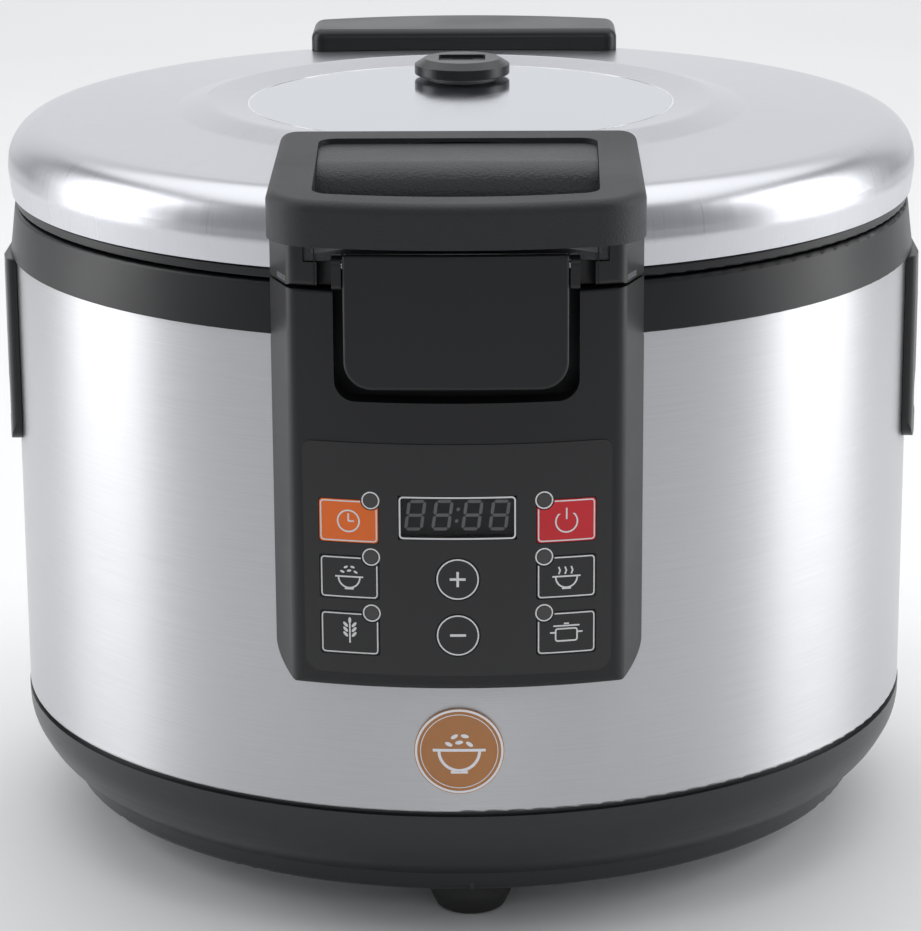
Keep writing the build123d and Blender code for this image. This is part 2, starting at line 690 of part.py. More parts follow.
def hinge_shaft():
    end = EAR_X + EAR_T / 2
    shaft = rod_x(SHAFT_R, -end - 4, end + 4, HINGE_Y, Z_HINGE)
    for side in both(rod_x(SHAFT_R + 2.5, end + 0.2, end + 2, HINGE_Y, Z_HINGE)):
        shaft += side
    keep("hinge_shaft", shaft)
    turns = 8
    wire = 1.1
    pitch = 2.6
    spring = coil(SHAFT_R + 0.6 + wire, wire, pitch, turns)
    spring = Pos(-turns * pitch / 2, HINGE_Y, Z_HINGE) * Rot(0, 90, 0) * spring
    keep("hinge_spring", spring)


def bracket_screws():
    heads = bracket_screw_places(4.6, BODY_R + 3.1, BODY_R + 5.6)
    shanks = bracket_screw_places(2.5, BODY_R - 9, BODY_R + 3.2)
    return [head + shank for head, shank in zip(heads, shanks)]


def power_inlet():
    flange_y = BOX_R - 2
    body = block((-INLET_W / 2 - 11, INLET_W / 2 + 11), (flange_y, BOX_R + 1.2),
                 (INLET_Z - INLET_H / 2 - 5, INLET_Z + INLET_H / 2 + 5))
    body = fillet(body.edges().filter_by(Axis.Y), 3)
    body += block((-INLET_W / 2 - 2, INLET_W / 2 + 2), (BODY_R - 8, flange_y + 1),
                  (INLET_Z - INLET_H / 2 - 2, INLET_Z + INLET_H / 2 + 2))
    half_w = INLET_W / 2 - 1.6
    half_h = INLET_H / 2 - 1.8
    mouth = outline([
        (-half_w, INLET_Z - half_h), (half_w, INLET_Z - half_h),
        (half_w, INLET_Z + half_h - 4), (half_w - 4, INLET_Z + half_h),
        (-half_w + 4, INLET_Z + half_h), (-half_w, INLET_Z + half_h - 4),
    ])
    depth = 19.5
    body -= Pos(0, BOX_R + 3, 0) * extrude(mouth, depth + 3)
    for x in (-INLET_W / 2 - 6.5, INLET_W / 2 + 6.5):
        body -= Pos(x, BOX_R, INLET_Z) * Rot(90, 0, 0) * Cylinder(1.8, 12)
    keep("power_inlet", body)
    floor = BOX_R - depth
    pins = [block((x - 1, x + 1), (floor, floor + 13), (INLET_Z + dz - 2, INLET_Z + dz + 2))
            for x, dz in ((-7, -2.6), (0, 1.6), (7, -2.6))]
    keep("inlet_pins", pins)


# ---- lid
def lid_path(grow=0.0):
    """The steel cover's outer face, from its rim up to the disc's edge."""
    return [
        (LID_R - 1.3 + grow, Z_STEEL),
        (LID_R + grow, Z_STEEL + 11, 12),
        (LID_R - 1.7 + grow, Z_STEEL + 31.5 + grow, 19),
        (LID_R - 24, Z_STEEL + 33 + grow, 10),
        (DISC_R + 34, Z_STEEL + 35.5 + grow, 8),
        (DISC_R + 18.5, Z_STEEL + 39.8 + grow, 10),
        (DISC_R, Z_DISC + grow),
    ]


def lid_filled(grow=0.0):
    """Everything under the steel cover's outer face."""
    return turned(lid_path(grow) + [(0, Z_DISC + grow), (0, Z_STEEL)])


def lid_cover():
    path = lid_path() + [(DISC_R, Z_DISC - DISC_T), (DISC_R - LEDGE_W, Z_DISC - DISC_T)]
    cover = turned(skin(path, LID_T))
    cover += tube(LID_R - 1.4, BODY_R - 3.8, Z_STEEL, Z_STEEL + LID_T)
    half = LID_NOTCH_HALF
    cover -= block((-half, half), (-LID_R - 10, GRIP_REAR_Y + 6), (Z_LID, Z_DISC + 20))
    cover -= block((-half, half), (HOOD_FRONT_Y + 17, LID_R + 10), (Z_LID, Z_DISC + 20))
    keep("lid_cover", cover)


def lid_frame():
    frame = turned([
        (CHAMBER_R - 4, Z_LID), (BODY_R - 2, Z_LID, 1), (BODY_R - 2, Z_STEEL - 1.1, 0.5),
        (BODY_R - 4, Z_STEEL - 1.1), (BODY_R - 4, Z_STEEL + 5.4),
        (BODY_R - 6.5, Z_STEEL + 5.4), (BODY_R - 6.5, Z_LID + SHELL_T), (CHAMBER_R - 4, Z_LID + SHELL_T),
    ])
    for hole in housing_screw_places(1.6, BODY_R - 12, BODY_R):
        frame -= hole
    for hole in arm_screw_places(1.6, Z_LID - 1, Z_LID + 10):
        frame -= hole
    keep("lid_frame", frame)


def lid_inside():
    inner_edge = CHAMBER_R - 4
    vent = Pos(0, VENT_Y, 0) * drum(VENT_BORE_R + 2.3, Z_RIM - 20, Z_DISC + 5)
    liner = drum(inner_edge - FIT, Z_LID + 1, Z_LID + 2) - vent - drum(4.1, Z_LID, Z_LID + 5)
    keep("lid_liner", liner)
    seal_r = POT_R - POT_T - 0.8
    plate_r = seal_r - 3.4
    low = Z_LID - 7.2
    plate = turned(skin([(4.2, low), (plate_r, low, 5), (plate_r, Z_LID + 0.6)], 1))
    plate -= vent
    hole = Pos(0, -128, 0) * drum(2.5, low - 5, low + 10)
    for pit in ring_of(hole, range(0, 360, 30)):
        plate -= pit
    keep("lid_inner_plate", plate)
    lip_low = Z_RIM + SOFT
    keep("lid_gasket", turned([
        (plate_r + FIT, low + 1), (seal_r, low + 1, 1), (seal_r, lip_low),
        (POT_R + 6, lip_low, 0.2), (POT_R + 6, lip_low + 0.7, 0.2), (seal_r, lip_low + 0.7),
        (seal_r, Z_LID + 0.8), (plate_r + FIT, Z_LID + 0.8),
    ]))
    knob = turned([
        (0, low - 8), (14, low - 8, 3), (15.5, low - FIT, 1), (4, low - FIT), (4, Z_LID + 4), (0, Z_LID + 4),
    ])
    keep("inner_plate_knob", knob)


def top_disc():
    edge = DISC_R - FIT
    disc = turned([(0, Z_DISC - DISC_T), (edge, Z_DISC - DISC_T), (edge, Z_DISC, 0.6), (0, Z_DISC)])
    disc -= Pos(0, VENT_Y, 0) * drum(VENT_BORE_R + 2.2, Z_DISC - 5, Z_DISC + 5)
    keep("top_disc", disc)


def steam_vent():
    seat = tube(VENT_BORE_R + 2, VENT_BORE_R, Z_LID - 9.5, Z_DISC + 1.2)
    seat += tube(VENT_BORE_R + 5.5, VENT_BORE_R, Z_DISC, Z_DISC + 1.2)
    keep("steam_valve_seat", Pos(0, VENT_Y, 0) * seat)
    low = Z_DISC + 1.6
    top = low + CAP_H
    stem_r = VENT_BORE_R - SOFT
    cap = turned([
        (0, low + 3), (8.5, low + 3), (8.5, low - 22), (stem_r, low - 22, 0.8), (stem_r, low),
        (CAP_R, low, 0.8), (CAP_R, top - 3), (CAP_R - 4.8, top, 1), (0, top),
    ])
    cap -= Pos(0, 0, top - 1.6) * extrude(RectangleRounded(23, 18, 2), 5)
    for dy in (-5, 0, 5):
        cap -= Pos(0, dy, low) * extrude(SlotCenterToCenter(9 if dy else 12, 2), CAP_H)
    keep("steam_cap", Pos(0, VENT_Y, 0) * cap)


def grip_prism(gap=0.0):
    """Upright prism of the finger opening in the handle."""
    front = HANDLE_FRONT_R - GRIP_DEPTH - gap
    sheet = make_face(Polyline(
        (GRIP_REAR_HALF - gap, GRIP_REAR_Y - gap), (GRIP_FRONT_HALF - gap, -HANDLE_FRONT_R - 5),
        (-GRIP_FRONT_HALF + gap, -HANDLE_FRONT_R - 5), (-GRIP_REAR_HALF + gap, GRIP_REAR_Y - gap), close=True))
    sheet &= Circle(front)
    corners = sheet.vertices().group_by(Axis.Y)
    sheet = fillet(corners[-1], 8 - gap)
    sheet = fillet(sheet.vertices().group_by(Axis.Y)[0], 9 - gap)
    return Pos(0, 0, Z_LID) * extrude(sheet, 100)


def handle_frame():
    sheet = make_face(Polyline(
        (HANDLE_REAR_HALF, HANDLE_REAR_Y), (HANDLE_FRONT_HALF, -HANDLE_FRONT_R - 5),
        (-HANDLE_FRONT_HALF, -HANDLE_FRONT_R - 5), (-HANDLE_REAR_HALF, HANDLE_REAR_Y), close=True))
    sheet &= Circle(HANDLE_FRONT_R)
    sheet = fillet(sheet.vertices().group_by(Axis.Y)[-1], 9)
    sheet = fillet(sheet.vertices().group_by(Axis.Y)[0], 26)
    form = Pos(0, 0, Z_BAR) * extrude(sheet, 60)
    slope = (Z_TOP_REAR - Z_TOP_FRONT) / (HANDLE_FRONT_R + HANDLE_REAR_Y)
    ahead = 10
    form &= across([
        (HANDLE_REAR_Y + ahead, Z_BAR), (HANDLE_REAR_Y + ahead, Z_TOP_REAR + slope * ahead),
        (-HANDLE_FRONT_R - ahead, Z_TOP_FRONT - slope * ahead), (-HANDLE_FRONT_R - ahead, Z_BAR),
    ], -100, 100)
    form = fillet(form.faces().sort_by(Axis.Z)[-1].edges(), 4.5)
    form -= grip_prism()
    top = max(form.faces(), key=lambda face: len(face.inner_wires()) * face.area)
    form = fillet(top.inner_wires()[0].edges(), 1.8)
    form -= lid_filled(FIT)
    for hole in handle_screw_places(1.5, Z_BAR - 1, Z_BAR + 13):
        form -= hole
    keep("handle_frame", form)


def handle_screw_places(radius, low, high):
    """Upright rods through the posts into the handle."""
    return both(Pos(LID_NOTCH_HALF + 3.5, -(BOX_R - 19), 0) * drum(radius, low, high))


def handle_scoop():
    floor = Z_BAR - 6.5
    path = [
        (GRIP_REAR_Y - FIT, Z_BAR + 21), (-171, Z_BAR + 19.3, 15), (-171, floor, 7),
        (-(BOX_R - 9), floor, 4), (-(BOX_R - 2), Z_BAR - FIT),
    ]
    sheet = across(skin(path, SHELL_T), -LID_NOTCH_HALF + 1.5, LID_NOTCH_HALF - 1.5)
    cheek = across([(-168, floor), (-168, Z_BAR + 15), (-BOX_R, Z_BAR + 15), (-(BOX_R - 2), Z_BAR - FIT),
                    (-(BOX_R - 9), floor)], GRIP_REAR_HALF - 0.5, LID_NOTCH_HALF - 1.5)
    form = sheet
    for side in both(cheek):
        form += side
    room = lid_filled(-LID_T - FIT)
    room += drum(BOX_R - 1, Z_LID, Z_BAR - FIT)
    room += grip_prism(FIT)
    form &= room
    keep("handle_scoop", form)


def latch_housing():
    form = box_form(Z_HOUSING, Z_BAR, 1.5) - drum(LID_R + 0.3, 0, Z_DISC)
    inner_x = LID_NOTCH_HALF - 1.5
    under_scoop = Z_BAR - 6.5 - SHELL_T - FIT
    lip = BOX_R - 7.7
    rise = Z_BAR + 5 - under_scoop
    form -= across([(0, under_scoop), (-lip, under_scoop), (-lip - rise * 7 / 6.3, under_scoop + rise),
                    (0, under_scoop + rise)], -inner_x, inner_x)
    for half, back in ((POST_INNER, BOX_R - POST_RECESS), (LEVER_HALF + 4.6, BODY_R + 7)):
        form -= block((-half, half), (-BOX_R - 5, 0), (0, Z_BAR + 5)) - drum(back, 0, Z_DISC)
    tongue = block((-60, 60), (-BODY_R - 3, 0), (Z_STEEL + 0.3, under_scoop))
    tongue &= tube(LID_R + 1, BODY_R - 3.8, 0, Z_DISC)
    form += tongue
    arm = block((LEVER_HALF + 0.6, LEVER_HALF + 4.6), (PIVOT_Y + 2, -BODY_R + 8), (Z_HOUSING + 2, under_scoop))
    for side in both(arm - drum(LID_R + 0.3, 0, Z_DISC)):
        form += side
    for end in both(across([
        (PIVOT_Y - 4.5, Z_HOUSING + 2, 2), (PIVOT_Y + 4.5, Z_HOUSING + 2), (PIVOT_Y + 4.5, Z_PIVOT + 4.5, 4),
        (PIVOT_Y - 4.5, Z_PIVOT + 4.5, 4),
    ], LEVER_HALF + 0.6, LEVER_HALF + 4.6)):
        form += end
    form -= rod_x(PIN_R, -LEVER_HALF - 5, LEVER_HALF + 5, PIVOT_Y, Z_PIVOT)
    for hole in handle_screw_places(1.7, Z_HOUSING - 1, Z_BAR + 1):
        form -= hole
    for hole in handle_screw_places(3.6, Z_HOUSING - 1, Z_HOUSING + 3):
        form -= hole
    for hole in housing_screw_places(1.3, BODY_R - 10, BODY_R + 5):
        form -= hole
    keep("latch_housing", form)


def housing_screw_places(radius, low, high):
    """Radial rods from inside the lid frame into the latch housing."""
    return [radial(radius, low, high, turn, Z_STEEL + 3) for turn in (-12, 12)]


def arm_screw_places(radius, low, high):
    """Upright rods through the hinge arms' foot into the lid frame."""
    return [Pos(x, HINGE_Y - 25, 0) * drum(radius, low, high) for x in (-30, 30)]


def lid_screws():
    handle = [head + shank for head, shank in zip(
        handle_screw_places(3.4, Z_HOUSING + 0.8, Z_HOUSING + 3),
        handle_screw_places(1.5, Z_HOUSING + 2, Z_BAR + 12))]
    housing = [head + shank for head, shank in zip(
        housing_screw_places(2.8, BODY_R - 8.4, BODY_R - 6.6),
        housing_screw_places(1.3, BODY_R - 7, BODY_R + 4))]
    top = Z_LID + SHELL_T + 2.2
    arm = [head + shank for head, shank in zip(
        arm_screw_places(2.8, top, top + 1.8), arm_screw_places(1.5, Z_LID + 0.4, top + 1))]
    keep("lid_screws", handle, housing, arm)


def hinge_cover():
    rear_r = BODY_R + HOOD_OUT
    sheet = make_face(Polyline(
        (HOOD_HALF, HOOD_FRONT_Y), (HOOD_HALF, rear_r + 5), (-HOOD_HALF, rear_r + 5),
        (-HOOD_HALF, HOOD_FRONT_Y), close=True)) & Circle(rear_r)
    sheet = fillet(sheet.vertices().group_by(Axis.Y)[0], 7)
    sheet = fillet(sheet.vertices().group_by(Axis.Y)[-1], 7)
    low = Z_HINGE + 10
    top = Z_DISC + 7.4
    form = Pos(0, 0, low) * extrude(sheet, top - low)
    form = fillet(form.faces().sort_by(Axis.Z)[-1].edges(), 5)
    hollow = Pos(0, 0, low - 5) * extrude(offset(sheet, -SHELL_T), top - low + 5 - SHELL_T)
    form = form - hollow - lid_filled(FIT)
    keep("hinge_cover", form)


def lid_hinge_arms():
    deck = Z_LID + SHELL_T
    foot_y = (HINGE_Y - 30, HINGE_Y - 20)
    form = block((-ARM_X, ARM_X), foot_y, (deck, deck + 2.2))
    arm = across([
        (foot_y[0], deck), (foot_y[1], deck), (foot_y[1] + 1.5, Z_STEEL + 7), (HINGE_Y - 5, Z_STEEL + 7),
        (HINGE_Y, Z_HINGE + KNUCKLE_R - 0.5), (HINGE_Y - 18, Z_HINGE + 5, 6), (foot_y[0], deck + 8, 3),
    ], ARM_X - ARM_T / 2, ARM_X + ARM_T / 2)
    arm += rod_x(KNUCKLE_R, ARM_X - ARM_T / 2, ARM_X + ARM_T / 2, HINGE_Y, Z_HINGE)
    for side in both(arm):
        form += side
    form -= rod_x(SHAFT_R + RUN, -100, 100, HINGE_Y, Z_HINGE)
    for hole in arm_screw_places(1.6, deck - 2, deck + 5):
        form -= hole
    keep("lid_hinge_arms", form)


# ---- latch
def latch_lever():
    low = Z_LEVER_TOP - LEVER_H
    half = LEVER_HALF
    bow = 1.4
    plan = make_face([
        ThreePointArc((-half, -LEVER_R + bow), (0, -LEVER_R), (half, -LEVER_R + bow)),
        Line((half, -LEVER_R + bow), (half, -LEVER_R + 15)),
        Line((half, -LEVER_R + 15), (-half, -LEVER_R + 15)),
        Line((-half, -LEVER_R + 15), (-half, -LEVER_R + bow)),
    ])
    form = Pos(0, 0, low - 1) * extrude(plan, LEVER_H + 2)
    face = outline([(-half, low, 12), (half, low, 12), (half, Z_LEVER_TOP, 2), (-half, Z_LEVER_TOP, 2)])
    form &= Pos(0, -(LEVER_R - 20), 0) * extrude(face, 30)
    side = across([
        (-LEVER_R - 2, low), (-LEVER_R - 2, Z_LEVER_TOP), (-LEVER_R, Z_LEVER_TOP), (-LEVER_R + 3, Z_LEVER_TOP),
        (-LEVER_R + 3, Z_PIVOT - 5), (-LEVER_R + 15, Z_PIVOT - 15), (-LEVER_R + 15, low),
    ], -half - 1, half + 1)
    form &= side
    form = fillet(form.faces().sort_by(Axis.Y)[0].edges(), 1.6)
    wall = 2.6
    hollow = block((-half + wall, half - wall), (-LEVER_R + bow + wall, -LEVER_R + 40),
                   (low + wall, Z_LEVER_TOP + 5))
    form -= hollow
    hub = rod_x(4.6, -half + 0.5, half - 0.5, PIVOT_Y, Z_PIVOT)
    hub -= block((-9, 9), (PIVOT_Y - 4, PIVOT_Y + 10), (Z_PIVOT - 10, Z_PIVOT + 10))
    form += hub
    hook_z = Z_BOX_TOP - 31 + 8.6
    hook = across([
        (-LEVER_R + bow, hook_z - 12), (-(BOX_R - 5) - 0.5, hook_z - 6), (-(BOX_R - 5) - 0.5, hook_z),
        (-LEVER_R + bow, hook_z),
    ], -12, 12)
    form += hook
    form -= rod_x(PIN_R + RUN, -100, 100, PIVOT_Y, Z_PIVOT)
    keep("latch_lever", form)
    keep("latch_pin", rod_x(PIN_R, -LEVER_HALF - 4.6, LEVER_HALF + 4.6, PIVOT_Y, Z_PIVOT))
    wire = 0.5
    spring = coil(PIN_R + 0.4 + wire, wire, 1.6, 6)
    keep("latch_spring", Pos(-4.8, PIVOT_Y, Z_PIVOT) * Rot(0, 90, 0) * spring)


def case_screws(extra):
    foot = drum(4, FOOT_H / 2 - 2.2, FOOT_H / 2) + drum(2, FOOT_H / 2 - 1, FOOT_H + 14)
    keep("case_screws", ring_of(Pos(0, -FOOT_RING_R, 0) * foot, FOOT_ANGLES), bracket_screws(),
         board_screws(), extra)


base_tray()
bottom_cover()
feet()
outer_casing()
upper_ring()
side_handles()
inner_chamber()
inner_pot()
heating_plate()
side_heater()
sensor()
thermal_fuse()
case_screws(power_board())
control_box()
panel_overlay()
keys()
display()
control_board()
latch_catch()
badge()
rear_housing()
hinge_bracket()
hinge_shaft()
power_inlet()
lid_cover()
lid_frame()
lid_inside()
top_disc()
steam_vent()
handle_frame()
handle_scoop()
latch_housing()
lid_screws()
hinge_cover()
lid_hinge_arms()
latch_lever()

os.makedirs("parts", exist_ok=True)
for name, shape in pieces.items():
    export_step(shape, f"parts/{name}.step")
print(len(pieces), "pieces")
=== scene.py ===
import json
import math

import bpy
from bpy.props import FloatProperty, FloatVectorProperty, IntProperty, PointerProperty
from mathutils import Matrix, Vector


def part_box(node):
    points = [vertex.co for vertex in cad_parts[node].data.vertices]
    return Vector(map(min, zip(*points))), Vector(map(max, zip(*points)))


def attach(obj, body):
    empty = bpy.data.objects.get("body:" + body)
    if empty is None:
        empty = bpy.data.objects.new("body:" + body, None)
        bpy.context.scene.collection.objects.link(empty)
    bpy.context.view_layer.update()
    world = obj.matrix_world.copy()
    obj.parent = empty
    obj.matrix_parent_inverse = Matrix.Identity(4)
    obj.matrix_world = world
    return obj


bl_info = {
    "name": "Rice Cooker Finishes",
    "version": (1, 0, 0),
    "blender": (4, 5, 0),
    "location": "View3D > Sidebar > Cooker",
    "description": "Finishes, printed marks and small trim for a catering rice cooker, and its studio",
    "category": "Object",
}

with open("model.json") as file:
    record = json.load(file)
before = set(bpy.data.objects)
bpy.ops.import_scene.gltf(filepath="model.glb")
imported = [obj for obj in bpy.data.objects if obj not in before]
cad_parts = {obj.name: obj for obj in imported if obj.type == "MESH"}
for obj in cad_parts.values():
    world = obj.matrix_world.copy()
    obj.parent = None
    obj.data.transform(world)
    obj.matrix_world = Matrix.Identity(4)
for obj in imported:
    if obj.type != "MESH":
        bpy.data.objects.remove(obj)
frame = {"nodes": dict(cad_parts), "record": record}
NODES = frame["nodes"]
SLOT_OF = {row["node"]: row["material_slot"] for row in frame["record"]["subparts"]}
MM = 0.001
BODY = "cooker_body"
LID = "lid"
LAMP_RADIUS = 3 * MM
REAR_RADIUS = 235 * MM
POT_WALL_RADIUS = 181.7 * MM
FIRST_LEVEL = 40 * MM
LEVEL_STEP = 18 * MM
RECTANGULAR_KEYS = ("key_timer", "key_rice", "key_husked_rice", "key_cancel", "key_porridge", "key_soup")


# ---- sizes and colours a user would change
class CookerSizes(bpy.types.PropertyGroup):
    line: FloatProperty(name="Print line", description="Width of the printed outlines",
                        default=0.55 * MM, min=0.1 * MM, unit="LENGTH")
    ink: FloatProperty(name="Ink thickness", description="How far the print stands off its surface",
                       default=0.07 * MM, min=0.01 * MM, unit="LENGTH")
    key_edge: FloatProperty(name="Key edge", description="From a key's edge to its printed outline",
                            default=0.45 * MM, unit="LENGTH")
    key_turn: FloatProperty(name="Key turn", description="Angle of the side keys round the casing's axis",
                            default=math.radians(11.41), subtype="ANGLE")
    key_width: FloatProperty(name="Key width", description="Width of a rectangular key's face",
                             default=25.8 * MM, unit="LENGTH")
    key_height: FloatProperty(name="Key height", description="Height of a rectangular key's face",
                              default=19.0 * MM, unit="LENGTH")
    round_key: FloatProperty(name="Round key", description="Diameter of a round key's face",
                             default=18.6 * MM, unit="LENGTH")
    key_corner: FloatProperty(name="Key corner", description="Corner radius of the printed outline",
                              default=1.6 * MM, unit="LENGTH")
    lamp_ring: FloatProperty(name="Lamp ring", description="Outer radius of the ring round a lamp",
                             default=3.9 * MM, unit="LENGTH")
    icon: FloatProperty(name="Pictogram size", description="Height of the pictogram on a key",
                        default=11.0 * MM, unit="LENGTH")
    digit_height: FloatProperty(name="Digit height", description="Height of a display digit",
                                default=13.6 * MM, unit="LENGTH")
    digit_width: FloatProperty(name="Digit width", description="Width of a display digit",
                               default=8.0 * MM, unit="LENGTH")
    digit_pitch: FloatProperty(name="Digit pitch", description="From one digit to the next",
                               default=11.6 * MM, unit="LENGTH")
    digit_slant: FloatProperty(name="Digit slant", description="Lean of the digits",
                               default=math.radians(8), subtype="ANGLE")
    seam: FloatProperty(name="Seam width", description="Width of the lines moulded into the handle's posts",
                        default=0.6 * MM, unit="LENGTH")
    pot_marks: IntProperty(name="Level marks", description="Number of level marks inside the pot",
                           default=8, min=1, max=20)


class CookerColours(bpy.types.PropertyGroup):
    steel: FloatVectorProperty(name="Casing steel", description="Colour of the brushed casing",
                               subtype="COLOR", default=(0.60, 0.605, 0.62), min=0, max=1)
    lid_steel: FloatVectorProperty(name="Lid steel", description="Colour of the satin lid",
                                   subtype="COLOR", default=(0.58, 0.59, 0.62), min=0, max=1)
    disc: FloatVectorProperty(name="Lid disc", description="Colour of the glossy disc",
                              subtype="COLOR", default=(0.52, 0.545, 0.59), min=0, max=1)
    housing: FloatVectorProperty(name="Housing plastic", description="Colour of the box, ring and handles",
                               subtype="COLOR", default=(0.0085, 0.0089, 0.0102), min=0, max=1)
    tray: FloatVectorProperty(name="Tray plastic", description="Colour of the base tray",
                              subtype="COLOR", default=(0.016, 0.0175, 0.020), min=0, max=1)
    scoop: FloatVectorProperty(name="Scoop plastic", description="Colour of the hollow behind the handle",
                               subtype="COLOR", default=(0.030, 0.032, 0.036), min=0, max=1)
    orange: FloatVectorProperty(name="Timer key", description="Colour of the timer key",
                                subtype="COLOR", default=(0.87, 0.16, 0.012), min=0, max=1)
    red: FloatVectorProperty(name="Stop key", description="Colour of the stop key",
                             subtype="COLOR", default=(0.62, 0.012, 0.022), min=0, max=1)
    ink: FloatVectorProperty(name="Print", description="Colour of the printed marks",
                             subtype="COLOR", default=(0.80, 0.80, 0.80), min=0, max=1)
    badge: FloatVectorProperty(name="Badge", description="Enamel of the round badge",
                               subtype="COLOR", default=(0.50, 0.19, 0.035), min=0, max=1)


# ---- modelling helpers
def clear_selection():
    if bpy.context.mode != "OBJECT":
        bpy.ops.object.mode_set(mode="OBJECT")
    bpy.ops.object.select_all(action="DESELECT")


def edit(piece):
    clear_selection()
    bpy.context.view_layer.objects.active = piece
    piece.select_set(True)
    bpy.ops.object.mode_set(mode="EDIT")
    bpy.ops.mesh.select_all(action="SELECT")


def done():
    bpy.ops.object.mode_set(mode="OBJECT")


def place(piece, size=(1, 1, 1)):
    """Puts the piece's scale, turn and place into its mesh."""
    piece.scale = size
    clear_selection()
    bpy.context.view_layer.objects.active = piece
    piece.select_set(True)
    bpy.ops.object.transform_apply(location=True, rotation=True, scale=True)
    return piece


def bar(at, size, turn=0.0, cuts=3):
    """Flat bar in the front plane, turned clockwise by degrees."""
    clear_selection()
    bpy.ops.mesh.primitive_plane_add(size=1, location=(at[0], 0, at[1]),
                                     rotation=(math.pi / 2, math.radians(turn), 0))
    piece = place(bpy.context.object, (size[0], size[1], 1))
    edit(piece)
    bpy.ops.mesh.subdivide(number_cuts=cuts)
    done()
    return piece


def disc(at, radius, squash=1.0, turn=0.0, sides=28):
    """Flat round or oval face in the front plane."""
    clear_selection()
    bpy.ops.mesh.primitive_circle_add(vertices=sides, radius=radius, fill_type="NGON",
                                      location=(at[0], 0, at[1]),
                                      rotation=(math.pi / 2, math.radians(turn), 0))
    return place(bpy.context.object, (1, squash, 1))


def ring(at, radius, line, sides=40):
    """Flat ring in the front plane, inset from a disc."""
    piece = disc(at, radius, sides=sides)
    edit(piece)
    bpy.ops.mesh.inset(thickness=line)
    bpy.ops.mesh.delete(type="FACE")
    done()
    return piece


def trimmed(piece, at, normal):
    """Cuts away what lies on the normal's side of a plane."""
    edit(piece)
    bpy.ops.mesh.bisect(plane_co=at, plane_no=normal, clear_outer=True)
    done()
    return piece


def outline(at, size, corner, line, cuts):
    """Flat rounded rectangle line in the front plane."""
    clear_selection()
    bpy.ops.mesh.primitive_plane_add(size=1, location=(at[0], 0, at[1]), rotation=(math.pi / 2, 0, 0))
    piece = place(bpy.context.object, (size[0], size[1], 1))
    edit(piece)
    bpy.ops.mesh.bevel(offset=corner, segments=5, affect="VERTICES")
    bpy.ops.mesh.select_all(action="SELECT")
    bpy.ops.mesh.inset(thickness=line)
    bpy.ops.mesh.delete(type="FACE")
    done()
    edit(piece)
    bpy.ops.mesh.select_all(action="DESELECT")
    bpy.ops.mesh.select_mode(type="EDGE")
    done()
    points = piece.data.vertices
    for side in piece.data.edges:
        low, high = side.vertices
        side.select = (points[low].co - points[high].co).length > corner * 1.5
    bpy.ops.object.mode_set(mode="EDIT")
    bpy.ops.mesh.subdivide(number_cuts=cuts)
    bpy.ops.mesh.select_mode(type="VERT")
    done()
    return piece


def cut_near(piece, at, reach):
    """Deletes the faces of a flat piece round a place."""
    edit(piece)
    bpy.ops.mesh.select_all(action="DESELECT")
    bpy.ops.mesh.select_mode(type="FACE")
    done()
    for face in piece.data.polygons:
        face.select = math.hypot(face.center.x - at[0], face.center.z - at[1]) < reach
    bpy.ops.object.mode_set(mode="EDIT")
    bpy.ops.mesh.delete(type="FACE")
    bpy.ops.mesh.select_mode(type="VERT")
    done()


def joined(name, parts):
    clear_selection()
    for part in parts:
        part.select_set(True)
    bpy.context.view_layer.objects.active = parts[0]
    if len(parts) > 1:
        bpy.ops.object.join()
    piece = bpy.context.view_layer.objects.active
    piece.name = name
    piece.data.name = name
    return piece


def apply_modifiers(piece):
    clear_selection()
    bpy.context.view_layer.objects.active = piece
    piece.select_set(True)
    for modifier in list(piece.modifiers):
        bpy.ops.object.modifier_apply(modifier=modifier.name)


def thicken(piece, thickness):
    """Gives a flat piece a wall towards the viewer (-Y)."""
    wall = piece.modifiers.new("wall", "SOLIDIFY")
    wall.thickness = thickness
    wall.offset = 1.0
    apply_modifiers(piece)
    edit(piece)
    bpy.ops.mesh.normals_make_consistent(inside=False)
    done()
    return piece


def wrap_round(piece, radius, angle=0.0, inside=False):
    """Lays a flat piece on an upright drum; angle 0 is the front, positive towards +X."""
    for vertex in piece.data.vertices:
        x, y, z = vertex.co
        turn = angle + x / radius
        reach = radius + y if inside else radius - y
        vertex.co = (reach * math.sin(turn), -reach * math.cos(turn), z)
    piece.data.update()
    return piece


def lay_on(piece, corner, along, out, side):
    """Lays a flat piece on an upright plane through a corner, mirrored for the other side."""
    for vertex in piece.data.vertices:
        x, y, z = vertex.co
        spot = corner + along * x - out * y
        vertex.co = (side * spot.x, spot.y, z)
    piece.data.update()
    edit(piece)
    bpy.ops.mesh.normals_make_consistent(inside=False)
    done()
    return piece


def shift(piece, by):
    piece.data.transform(Matrix.Translation(by))
    return piece


def fit(piece, material, body, smooth=30):
    """Gives a finished piece its material, its shading and the body it moves with."""
    piece.data.materials.clear()
    piece.data.materials.append(material)
    clear_selection()
    bpy.context.view_layer.objects.active = piece
    piece.select_set(True)
    if smooth:
        bpy.ops.object.shade_smooth_by_angle(angle=math.radians(smooth))
    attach(piece, body)
    return piece


# ---- shared effects
def effect(name, inputs, outputs):
    tree = bpy.data.node_groups.new(name, "ShaderNodeTree")
    for label, kind, value in inputs:
        socket = tree.interface.new_socket(name=label, in_out="INPUT", socket_type=kind)
        if value is not None:
            socket.default_value = value
    for label, kind in outputs:
        tree.interface.new_socket(name=label, in_out="OUTPUT", socket_type=kind)
    start = tree.nodes.new("NodeGroupInput")
    end = tree.nodes.new("NodeGroupOutput")
    return tree, start, end


